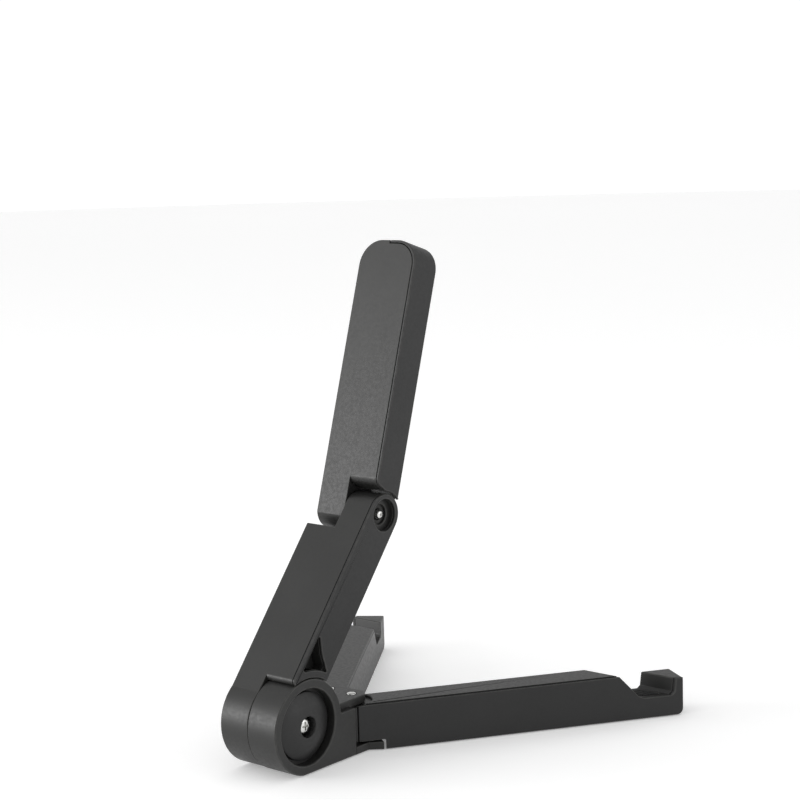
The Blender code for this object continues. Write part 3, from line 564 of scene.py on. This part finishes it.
def hub_cap():
    """Domed cap with a rolled rim, set inside the barrel's recess, and a screw hole."""
    back, crown = CAP_RECESS_FLOOR - GAP, -HALF_WIDTH + CAP_SUNK
    rim = -HALF_WIDTH + CAP_DOME + CAP_RIM_DROP
    along, inward = CAP_CHAMFER
    profile = [(back, CAP_HOLE_R), (back, CAP_R - inward), (back - along, CAP_R)]
    profile += [(x, r) for r, x in arc((CAP_R - CAP_ROLL, rim), CAP_ROLL, 0, CAP_ROLL_TURN)]
    start_x, start_r = profile[-1]
    end_r = CAP_HOLE_R + CAP_LIP
    dome_rings = 24
    for i in range(1, dome_rings + 1):
        share = i / dome_rings
        x = start_x + (crown - start_x) * math.sin(share * math.pi / 2)
        profile.append((x, start_r + (end_r - start_r) * share))
    profile += [(x, r) for r, x in arc((end_r, crown + CAP_LIP), CAP_LIP, -90, -180)][1:]
    piece("hub_cap_dome", turned(profile, steps=96), HUB, "base", "hub_cap", SHADED_SIDE_PLASTIC)


def headed_screw(seat, shank_r, head_r, height, end, recess, centre=(0, 0, 0)):
    """A screw along X with a domed head and a cross recess in it."""
    face = seat - height
    profile = [(face - HEAD_RISE, 0)]
    rise = HEAD_RISE + HEAD_CORNER
    dome = 6
    for i in range(1, dome + 1):
        angle = math.pi / 2 * i / dome
        profile.append((face + HEAD_CORNER - rise * math.cos(angle),
                        (head_r - HEAD_CORNER) * math.sin(angle)))
    profile += [(face + HEAD_TURN[0], head_r - HEAD_TURN[1]), (face + HEAD_SIDE, head_r)]
    profile += [(seat, head_r), (seat, shank_r), (end - SHANK_CHAMFER, shank_r)]
    profile += [(end, shank_r - SHANK_CHAMFER), (end, 0)]
    half, wide, depth = recess
    bars = [prism(rounded((centre[1] - a, centre[2] - b), (centre[1] + a, centre[2] + b),
                          RECESS_CORNER_R), face - 2, face + depth, "X")
            for a, b in ((half, wide), (wide, half))]
    return carved(turned(profile, steps=48, centre=centre), cut(*bars))


def hub_hardware():
    seat = HUB_HEAD_SEAT - GAP
    screw = headed_screw(seat, HUB_SCREW_R, HUB_HEAD_R, HUB_HEAD_TALL - HEAD_RISE, HUB_SCREW_END,
                         HUB_RECESS)
    piece("hub_screw_head", screw, HUB, "base", "hub_screw", STEEL,
          lambda at: HUB_SCREW_EDGE)


def hub_foot_pad():
    """Rubber foot with a raised border and shallow grip lines."""
    near, far = HUB_PAD_AHEAD
    body = prism(rounded((-HUB_PAD_HALF, -far), (HUB_PAD_HALF, -near), HUB_PAD_CORNER_R), 0,
                 FOOT_LIFT + PAD_SUNK, "Z")
    grooves = [prism(rectangle((-HUB_PAD_HALF + HUB_GRIP_MARGIN, y - HUB_GRIP_HALF),
                               (HUB_PAD_HALF - HUB_GRIP_MARGIN, y + HUB_GRIP_HALF)),
                     -1, HUB_GRIP_DEPTH, "Z") for y in HUB_GRIP_Y]
    piece("hub_foot_rubber", carved(body, cut(*grooves)), FLOOR, "base", "hub_foot_pad",
          RUBBER, lambda at: HUB_PAD_EDGE)


def leg_pins():
    """Rivet-headed pins through the ears and the leg knuckles."""
    top = TOP_EAR[1]
    for side, name in ((-1, "left"), (1, "right")):
        profile = [(PIN_BOTTOM, 0), (PIN_BOTTOM, PIN_R - PIN_CHAMFER)]
        profile += [(PIN_BOTTOM + PIN_CHAMFER, PIN_R), (top - PIN_HEAD_SUNK, PIN_R)]
        profile += [(top - PIN_HEAD_SUNK, PIN_HEAD_R), (top - PIN_CROWN_BASE, PIN_HEAD_R)]
        crown = 6
        for i in range(1, crown + 1):
            angle = math.pi / 2 * i / crown
            profile.append((top - PIN_CROWN_BASE + PIN_CROWN * math.sin(angle),
                            PIN_HEAD_R * math.cos(angle)))
        profile[-1] = (profile[-1][0], 0)
        pin = turned(profile, axis="Z", steps=48, centre=(side * PIN_X, -PIN_AHEAD, 0))
        piece(name + "_pivot_rivet", pin, FLOOR, "base", name + "_pivot_pin", STEEL)


# ---- Legs ----

def notch(side):
    """The hook cut square to the tablet's edge, in the leg's own frame."""
    slope = (NOTCH_CORNER[0] - NOTCH_START) / (LEG_TOP - NOTCH_CORNER[1])
    back, up = NOTCH_LIP_FOOT
    beyond = NOTCH_LIP + NOTCH_BEYOND
    profile = [(NOTCH_START - NOTCH_ABOVE * slope, LEG_TOP + NOTCH_ABOVE), NOTCH_CORNER,
               (NOTCH_FLOOR_START, NOTCH_FLOOR_Z), (NOTCH_FLOOR_END, NOTCH_FLOOR_Z),
               (NOTCH_LIP - back, NOTCH_FLOOR_Z + up), (NOTCH_LIP, LIP_TOP),
               (beyond, LIP_TOP), (beyond, LEG_TOP + NOTCH_ABOVE)]
    points = filleted([(PIN_AHEAD - ahead, z) for ahead, z in profile], NOTCH_RADII)
    solid = prism(points, *sorted(side * across for across in NOTCH_ACROSS), "X")
    bmesh.ops.transform(solid, matrix=Matrix.Rotation(-side * SPREAD, 4, "Z"), verts=solid.verts)
    return solid


def hook_insert(side, grow, low, high):
    """The rubber insert in the hook's floor."""
    near, far = NOTCH_FLOOR_START + HOOK_INSET - grow, NOTCH_FLOOR_END - HOOK_INSET + grow
    margin = HOOK_MARGIN - grow
    outer, inner = LEG_OUT - INNER_SIDE - margin, -LEG_IN + margin
    points = []
    for ahead, u in ((near, outer), (far, outer), (far, inner), (near, inner)):
        s = (ahead - PIN_AHEAD + u * math.sin(SPREAD)) / math.cos(SPREAD)
        points.append((side * u, -s))
    return prism(filleted(points, [HOOK_CORNER_R + grow] * 4), low, high, "Z")


def leg_tools(side):
    """The cuts shared by a leg's shell and its side cover."""
    tip = [(20, -2), (20, 25), (-LEG_LENGTH, 25)]
    tip += arc((-LEG_LENGTH + TIP_ROUND, FOOT_LIFT + TIP_ROUND), TIP_ROUND, 180, 270)
    tip += [(-LEG_LENGTH + TIP_ROUND + 4, FOOT_LIFT - 0.2), (-LEG_LENGTH + TIP_ROUND + 8, -2)]
    wide = 9
    under_ear = arc((0, 0), TOP_RECESS_R, 0, 180)
    under_ear += [(-wide, 0), (-wide, -wide), (wide, -wide), (wide, 0)]
    tools = [("INTERSECT", prism(tip, -OVERSHOOT, OVERSHOOT, "X"))]
    return tools + cut(notch(side), prism(circle((0, 0), EAR_SWEEP_R), -1, UNDERCUT_TOP, "Z"),
                       prism([(side * x, -y) for x, y in under_ear], TOP_RECESS_Z, LEG_TOP + 2,
                             "Z"))


def leg(side, name):
    def plan(points):
        return [(side * u, -s) for u, s in points]

    body, place = name + "_leg", LEG[side]
    inner_u = LEG_OUT - INNER_SIDE
    end_s = LEG_LENGTH + 1.5
    outline = [(inner_u, end_s), (-LEG_IN, end_s)]
    outline += arc((0, 0), LEG_IN, 180, 270) + arc((0, 0), LEG_OUT, 270, 360) + [(inner_u, 0)]
    foot = ((inner_u - LEG_IN) / 2, FOOT_PAD_S)
    tools = cut(prism(plan(circle((0, 0), PIN_R + GAP)), -1, OVERSHOOT, "Z")) + leg_tools(side)
    tools += cut(prism(plan(circle((0, 0), PIN_WASHER_R + GAP)), -1, PIN_WASHER_TOP + GAP, "Z"),
                 prism(plan(circle(foot, FOOT_PAD_R + GAP)), -1, FOOT_LIFT + PAD_SUNK + GAP, "Z"),
                 hook_insert(side, GAP, HOOK_PAD_LOW - GAP, NOTCH_FLOOR_Z + 1),
                 prism(plan(rectangle((-LEG_IN - 1, TOP_RECESS_R + 1),
                                      (-LEG_IN + SEAM_DEPTH, end_s + 1))),
                       *(LEG_TOP - below for below in SEAM_BELOW_TOP), "Z"))

    def shell_edge(at):
        low, high = (LEG_TOP - below for below in SEAM_ZONE)
        if side * at.x > inner_u - NEAR or low < at.z < high:
            return INNER_EDGE
        return SOFT_EDGE

    shell = carved(prism(plan(outline), FOOT_LIFT, LEG_TOP, "Z"), tools)
    piece(body + "_bar", shell, place, body, body + "_shell", SHELL, shell_edge)

    plate = filleted(rectangle((LEG_OUT - COVER, GAP), (LEG_OUT, end_s)), [0, PLATE_CORNER_R, 0, 0])
    cover = carved(prism(plan(plate), FOOT_LIFT, LEG_TOP - COVER_DROP, "Z"), leg_tools(side))
    piece(body + "_side_plate", cover, place, body, body + "_side_cover", SHADED_SIDE_PLASTIC,
          lambda at: COVER_EDGE if side * at.x > LEG_OUT - NEAR else COVER_INNER_EDGE)

    grip = [prism(plan(rectangle((foot[0] - a, foot[1] - b), (foot[0] + a, foot[1] + b))),
                  -1, LEG_GRIP_DEPTH, "Z")
            for a, b in ((LEG_GRIP_REACH, LEG_GRIP_HALF), (LEG_GRIP_HALF, LEG_GRIP_REACH))]
    pad = carved(prism(plan(circle(foot, FOOT_PAD_R)), 0, FOOT_LIFT + PAD_SUNK, "Z"), cut(*grip))
    piece(body + "_foot_rubber", pad, place, body, name + "_foot_pad", RUBBER,
          lambda at: LEG_PAD_EDGE)
    ribs = []
    middle, reach = RIB_REACH
    for step in range(3):
        y = PIN_AHEAD - (NOTCH_FLOOR_START + RIB_START + step * RIB_STEP)
        rib = prism(rectangle((-reach, y - RIB_HALF), (reach, y + RIB_HALF)),
                    NOTCH_FLOOR_Z - RIB_DEPTH, NOTCH_FLOOR_Z + 3, "Z")
        bmesh.ops.translate(rib, vec=(side * middle, 0, 0), verts=rib.verts)
        bmesh.ops.transform(rib, matrix=Matrix.Rotation(-side * SPREAD, 4, "Z"), verts=rib.verts)
        ribs.append(rib)
    insert = carved(hook_insert(side, 0, HOOK_PAD_LOW, NOTCH_FLOOR_Z + HOOK_PROUD), cut(*ribs))
    piece(body + "_hook_rubber", insert, place, body, name + "_hook_pad", RUBBER,
          lambda at: HOOK_PAD_EDGE)


# ---- Lower arm ----

def window_tool(low_n, floor, ledge=0.0):
    """The three-cornered pocket over the hub, down to low_n at its front corner."""
    radius = WINDOW_ARC_R + ledge
    back, front = (math.degrees(math.asin(n / radius)) for n in (WINDOW_BACK, low_n))
    sweep = arc((0, 0), radius, 90 - back, 90 - front)
    sweep = sweep[:1] + sweep[2:-2] + sweep[-1:]
    points = list(sweep)
    radii = [WINDOW_BACK_R] + [0] * (len(sweep) - 2)
    radii.append(WINDOW_FRONT_R)
    corner_s = math.sqrt(WINDOW_ARC_R ** 2 - WINDOW_LOW_N ** 2)
    share = (low_n - WINDOW_LOW_N) / (WINDOW_WAIST[0] - WINDOW_LOW_N)
    if share:
        points.append((low_n, corner_s + (WINDOW_WAIST[1] - corner_s) * share))
        radii = radii[:-1] + [0, 0]
    points += [WINDOW_WAIST, (WINDOW_BACK, WINDOW_APEX_S)]
    return prism(filleted(points, radii + [WINDOW_WAIST_R, WINDOW_TOP_R]), -OVERSHOOT, floor, "X")


def lower_end():
    """Room under the near half: its lower end is blunt and round, over the barrel."""
    centre = (LOWER_BACK - LOWER_END_R, LOWER_END_S + LOWER_END_R)
    points = [(LOWER_BACK + 4, centre[1])] + arc(centre, LOWER_END_R, 0, -90)
    points += [(centre[0] - 2, LOWER_END_S), (centre[0] - 2, 0), (LOWER_BACK + 4, 0)]
    return prism(points, -OVERSHOOT, SPLIT, "X")


def lower_arm():
    front_angle = math.degrees(math.acos(LOWER_FRONT / CHEEK_R))
    back_angle = math.degrees(math.acos(LOWER_BACK / CHEEK_R))
    elbow = (ELBOW_N, ELBOW_S)
    outline = arc((0, 0), CHEEK_R, front_angle, 360 + back_angle) + arc(elbow, EAR_R, 0, 180)
    inner_x = -HALF_WIDTH + INNER_SIDE
    bore_r = HUB_SCREW_R + GAP
    stack = [(-1, 0), (-1, DISC_R + GAP), (DISC_SEAT, DISC_R + GAP), (DISC_SEAT, bore_r)]
    stack += [(NUT_POCKET, bore_r), (NUT_POCKET, NUT_POCKET_R)]
    stack += [(OVERSHOOT, NUT_POCKET_R), (OVERSHOOT, 0)]
    first, second, third = EAR_STEPS_X
    head_r, hole_r = ELBOW_HEAD_R + GAP, ELBOW_SCREW_R + GAP
    ear = [(-OVERSHOOT, 0), (-OVERSHOOT, EAR_BORE_R), (first, EAR_BORE_R), (first, EAR_STEP_R)]
    ear += [(second, EAR_STEP_R), (second, head_r), (third, head_r), (third, hole_r)]
    ear += [(2, hole_r), (2, 0)]
    tools = cut(
        prism(circle((0, 0), BARREL_CLEAR_R), -OVERSHOOT, SPLIT, "X"), lower_end(),
        window_tool(WINDOW_LOW_N, WINDOW_SILL),
        window_tool(WINDOW_SILL_N, WINDOW_FLOOR, WINDOW_LEDGE),
        prism(rectangle((-5, LOWER_TOP), (25, 95)), -SPLIT, OVERSHOOT, "X"),
        prism(rectangle((-5, CHANNEL_S[0]), (CHANNEL_BACK, CHANNEL_S[1])),
              -CHANNEL_HALF, CHANNEL_HALF, "X"),
        turned(stack), turned(ear, centre=(0, *elbow)))
    rub_ring = [(x, r) for x, r in ((RING_X, RING_R[0]), (RING_X, RING_R[1]),
                                    (RING_BACK, RING_R[1]), (RING_BACK, RING_R[0]))]
    tools.append(("UNION", turned(rub_ring, steps=128)))

    def shell_edge(at):
        reach = math.hypot(at.y, at.z)
        if at.x < SPLIT - 0.05 and reach < RING_R[1] + NEAR:
            return RING_EDGE
        if at.x < SPLIT and abs(reach - BARREL_CLEAR_R) < 0.4 and at.y > LOWER_BACK - 0.2:
            return LOWER_END_EDGE
        if at.x < WINDOW_SILL + NEAR:
            return INNER_EDGE
        if reach < DISC_R + 2 and at.x < 3:
            return DISC_EDGE
        return SOFT_EDGE

    shell = carved(prism(outline, inner_x, HALF_WIDTH, "X"), tools)
    piece("lower_arm_bar", shell, LOWER, "lower_arm", "lower_arm_shell", SHELL,
          shell_edge)
    cover = carved(
        prism(outline, -HALF_WIDTH, -HALF_WIDTH + COVER, "X"),
        cut(prism(circle((0, 0), BARREL_CLEAR_R), -OVERSHOOT, SPLIT, "X"), lower_end(),
            window_tool(WINDOW_LOW_N, WINDOW_SILL),
            prism(circle(elbow, EAR_BORE_R), -OVERSHOOT, 0, "X")))
    piece("lower_arm_side_plate", cover, LOWER, "lower_arm", "lower_arm_side_cover",
          SHADED_SIDE_PLASTIC,
          lambda at: COVER_EDGE if at.x < -HALF_WIDTH + NEAR else COVER_INNER_EDGE)
    plug_r, face = NUT_POCKET_R - GAP, HALF_WIDTH - PLUG_SUNK
    plug = [(HUB_PLUG_START, 0), (HUB_PLUG_START, plug_r - PLUG_CHAMFER)]
    plug.append((HUB_PLUG_START + PLUG_CHAMFER, plug_r))
    plug += [(x, r) for r, x in arc((plug_r - PLUG_ROLL, face - PLUG_ROLL), PLUG_ROLL, 0, 90)]
    rim_r, floor_r = PLUG_DIMPLE_R
    plug += [(face, rim_r), (face - PLUG_DIMPLE, floor_r), (face - PLUG_DIMPLE, 0)]
    piece("hub_nut_plug", turned(plug), HUB, "lower_arm", "hub_nut_cap", SHADED_SIDE_PLASTIC)


def elbow_hardware():
    screw = headed_screw(EAR_STEPS_X[2] - GAP, ELBOW_SCREW_R, ELBOW_HEAD_R,
                         ELBOW_HEAD_TALL - HEAD_RISE, ELBOW_SCREW_END, ELBOW_RECESS,
                         (0, ELBOW_N, ELBOW_S))
    piece("elbow_screw_head", screw, LOWER, "lower_arm", "elbow_screw", STEEL,
          lambda at: ELBOW_SCREW_EDGE)


# ---- Upper arm ----

def tip_corner(side, inset):
    """The arm tip's round corner, from the side edge up to the top edge, x then s."""
    centre = (side * (HALF_WIDTH - TIP_CORNER_R), UPPER_LENGTH - TIP_CORNER_R)
    return arc(centre, TIP_CORNER_R - inset, 0 if side > 0 else 180, 90)


def upper_step():
    """Room for the lower arm's ear: round back corner, then an arc about the elbow."""
    bend = (UPPER_BACK - STEP_CORNER_R, STEP_BACK_S)
    step = [(UPPER_BACK + 4, STEP_BACK_S), (UPPER_BACK, STEP_BACK_S)]
    step += arc(bend, STEP_CORNER_R, 0, -STEP_CORNER_TURN)[1:]
    step += arc((0, 0), STEP_CLEAR_R, STEP_CLEAR_FROM, 180)
    step += [(-STEP_CLEAR_R, -OVERSHOOT), (UPPER_BACK + 4, -OVERSHOOT)]
    return prism(step, -OVERSHOOT, SPLIT, "X")


def upper_arm():
    back_angle = math.degrees(math.acos(UPPER_BACK / LOBE_R))
    front_angle = math.degrees(math.acos(-UPPER_FRONT / LOBE_R))
    outline = [(UPPER_BACK, UPPER_LENGTH + 3), (UPPER_FRONT, UPPER_LENGTH + 3)]
    outline += arc((0, 0), LOBE_R, 180 + front_angle, 360 - back_angle)
    inner_x = -HALF_WIDTH + INNER_SIDE
    far = OVERSHOOT
    face = [(inner_x, -far), (far, -far), (far, 0), (HALF_WIDTH, 0)] + tip_corner(1, 0)
    face += [(SPLIT, UPPER_LENGTH), (SPLIT, UPPER_LENGTH - INNER_SIDE)]
    face += tip_corner(-1, INNER_SIDE)[::-1]
    bore_r = ELBOW_SCREW_R + GAP
    disc_r = ELBOW_DISC_R + GAP
    stack = [(-1, 0), (-1, disc_r), (ELBOW_DISC_SEAT, disc_r), (ELBOW_DISC_SEAT, bore_r)]
    stack += [(LOBE_POCKET, bore_r), (LOBE_POCKET, LOBE_POCKET_R), (far, LOBE_POCKET_R), (far, 0)]
    (low_s, high_s), half = TIP_PAD_S, TIP_PAD_HALF
    seat = rounded((-half - GAP, low_s - GAP), (half + GAP, high_s + GAP),
                   TIP_PAD_CORNER_R + GAP)
    tools = [("INTERSECT", prism(face, -far, far, "Y"))]
    tools += cut(upper_step(), turned(stack),
                 prism(seat, UPPER_FRONT - 2, UPPER_FRONT + TIP_PAD_SUNK + GAP, "Y"))

    def shell_edge(at):
        if at.z > UPPER_LENGTH - TIP_CORNER_R - 1 and at.x < SPLIT or at.x < inner_x + NEAR:
            return TIP_EDGE
        if at.x < SPLIT + NEAR and STEP_BACK_S - 1 < at.z < STEP_BACK_S + 3:
            return STEP_EDGE
        return SOFT_EDGE

    shell = carved(prism(outline, inner_x - 2, HALF_WIDTH, "X"), tools)
    piece("upper_arm_bar", shell, UPPER, "upper_arm", "upper_arm_shell", SHELL,
          shell_edge)
    band = [(-HALF_WIDTH + COVER, 0), (-HALF_WIDTH, 0)] + tip_corner(-1, 0)
    band += [(-SPLIT, UPPER_LENGTH), (-SPLIT, UPPER_LENGTH - COVER)] + tip_corner(-1, COVER)[::-1]
    cover = carved(prism(band, UPPER_FRONT, UPPER_BACK, "Y"), cut(upper_step()))

    def cover_edge(at):
        corner = Vector((at.x + HALF_WIDTH - TIP_CORNER_R, at.z - UPPER_LENGTH + TIP_CORNER_R))
        outside = corner.length > TIP_CORNER_R - 0.2 if corner.x < 0 < corner.y else (
            at.x < -HALF_WIDTH + NEAR or at.z > UPPER_LENGTH - NEAR)
        return COVER_EDGE if outside else COVER_INNER_EDGE

    piece("upper_arm_side_plate", cover, UPPER, "upper_arm", "upper_arm_side_cover",
          SHADED_SIDE_PLASTIC, cover_edge)
    across = half - TIP_GRIP_MARGIN
    grooves = [prism(rectangle((-across, s - TIP_GRIP_HALF), (across, s + TIP_GRIP_HALF)),
                     UPPER_FRONT - 2, UPPER_FRONT - TIP_PAD_PROUD + TIP_GRIP_DEPTH, "Y")
               for s in TIP_GRIP_S]
    pad = carved(prism(rounded((-half, low_s), (half, high_s), TIP_PAD_CORNER_R),
                       UPPER_FRONT - TIP_PAD_PROUD, UPPER_FRONT + TIP_PAD_SUNK, "Y"), cut(*grooves))
    piece("arm_tip_rubber", pad, UPPER, "upper_arm", "arm_tip_pad", RUBBER,
          lambda at: TIP_PAD_EDGE)


hub_block()
hub_cap()
hub_hardware()
hub_foot_pad()
leg_pins()
leg(-1, "left")
leg(1, "right")
lower_arm()
elbow_hardware()
upper_arm()

# ---- CAD nodes that stay visible ----
for node, finish in (("hub_spring_washer", STEEL), ("hub_nut", STEEL), ("elbow_washer", STEEL),
                     ("elbow_nut", STEEL), ("hub_friction_disc", NYLON),
                     ("elbow_friction_disc", NYLON), ("left_pivot_washer", NYLON),
                     ("right_pivot_washer", NYLON)):
    for place in frame["nodes"][node].material_slots:
        place.material = finish


# ---- Stage, light and camera ----

FLOOR_RADIUS, FLOOR_TONES, PAPER_SCALE, FLOOR_GLOW = 6.0, (0.95, 0.98), 3.0, 0.21
SKY_HEIGHTS, SKY_STRENGTHS = (0.15, 0.75), (1.05, 0.18)
SUN_TOWARDS, SUN_STRENGTH, SUN_SPREAD = (0.3, 0.5, 1.8), 1.3, 100
# Name, place, aim and size in metres, power in watts
SOFTBOXES = (("right_back_light", (1.1, 1.25, 0.32), (0, 0, 0.08), (1.0, 0.6), 15),
             ("left_light", (-1.6, -0.6, 0.6), (0, 0, 0.05), (0.8, 0.8), 4))
CAMERA_AT = (-0.4222, 0.4895, 0.2055)
CAMERA_TOWARDS, CAMERA_UP = (0.6411, -0.7551, -0.137), (0.0671, -0.1227, 0.9902)
CAMERA_LENS, CAMERA_SENSOR = 84.46, 36.0


def backdrop():
    """A wide pale floor that glows a little, to stay white."""
    bm = bmesh.new()
    bmesh.ops.create_circle(bm, cap_ends=True, segments=96, radius=FLOOR_RADIUS)
    floor = linked("floor", bm)
    made = bpy.data.materials.new("floor_paper")
    made.use_nodes = True
    nodes, links = made.node_tree.nodes, made.node_tree.links
    shader = nodes["Principled BSDF"]
    socket(shader, "Roughness", 0.9)
    socket(shader, "Specular IOR Level", 0.1)
    socket(shader, "Emission Color", (1, 1, 1, 1))
    socket(shader, "Emission Strength", FLOOR_GLOW)
    paper = nodes.new("ShaderNodeTexNoise")
    socket(paper, "Scale", PAPER_SCALE)
    tint = nodes.new("ShaderNodeMix")
    tint.data_type = "RGBA"
    for index, tone in zip((MIX_ONE, MIX_TWO), FLOOR_TONES):
        tint.inputs[index].default_value = (tone, tone, tone, 1)
    links.new(paper.outputs["Fac"], tint.inputs[0])
    links.new(tint.outputs[MIX_RESULT], shader.inputs["Base Color"])
    floor.data.materials.append(made)
    floor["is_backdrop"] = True


def world(horizon, zenith):
    """Pale surroundings, dimmer overhead."""
    made = bpy.data.worlds.new("studio")
    bpy.context.scene.world = made
    made.use_nodes = True
    nodes, links = made.node_tree.nodes, made.node_tree.links
    back = nodes["Background"]
    coords = nodes.new("ShaderNodeTexCoord")
    split = nodes.new("ShaderNodeSeparateXYZ")
    level = nodes.new("ShaderNodeMapRange")
    socket(level, "From Min", SKY_HEIGHTS[0])
    socket(level, "From Max", SKY_HEIGHTS[1])
    socket(level, "To Min", horizon)
    socket(level, "To Max", zenith)
    links.new(coords.outputs["Generated"], split.inputs[0])
    links.new(split.outputs["Z"], level.inputs["Value"])
    links.new(level.outputs["Result"], back.inputs["Strength"])
    socket(back, "Color", (1, 1, 1, 1))


def softbox(name, place, aim, size, power):
    light = bpy.data.lights.new(name, "AREA")
    light.shape = "RECTANGLE"
    light.size, light.size_y = size
    light.energy = power
    made = bpy.data.objects.new(name, light)
    bpy.context.scene.collection.objects.link(made)
    made.location = place
    made.rotation_euler = (Vector(aim) - Vector(place)).to_track_quat("-Z", "Y").to_euler()


def sun(name, towards, strength):
    """A very soft light, the same all over the floor."""
    light = bpy.data.lights.new(name, "SUN")
    light.energy = strength
    light.angle = math.radians(SUN_SPREAD)
    made = bpy.data.objects.new(name, light)
    bpy.context.scene.collection.objects.link(made)
    made.rotation_euler = Vector(towards).to_track_quat("Z", "Y").to_euler()


def camera():
    """The photograph's viewpoint."""
    data = bpy.data.cameras.new("photo_view")
    data.lens = CAMERA_LENS
    data.sensor_width = CAMERA_SENSOR
    data.clip_start, data.clip_end = 0.01, 50.0
    made = bpy.data.objects.new("photo_view", data)
    bpy.context.scene.collection.objects.link(made)
    forward = Vector(CAMERA_TOWARDS).normalized()
    up = Vector(CAMERA_UP)
    right = forward.cross(up).normalized()
    up = right.cross(forward)
    turn = Matrix((right, up, -forward)).transposed()
    made.matrix_world = Matrix.Translation(CAMERA_AT) @ turn.to_4x4()
    bpy.context.scene.camera = made


backdrop()
world(*SKY_STRENGTHS)
sun("even_light", SUN_TOWARDS, SUN_STRENGTH)
for box in SOFTBOXES:
    softbox(*box)
camera()
bpy.context.scene.view_settings.view_transform = "Standard"

sizes = {"before": SIZE_BEFORE, "after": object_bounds()}
({key: [list(map(float, corner)) for corner in value]
           for key, value in sizes.items()})
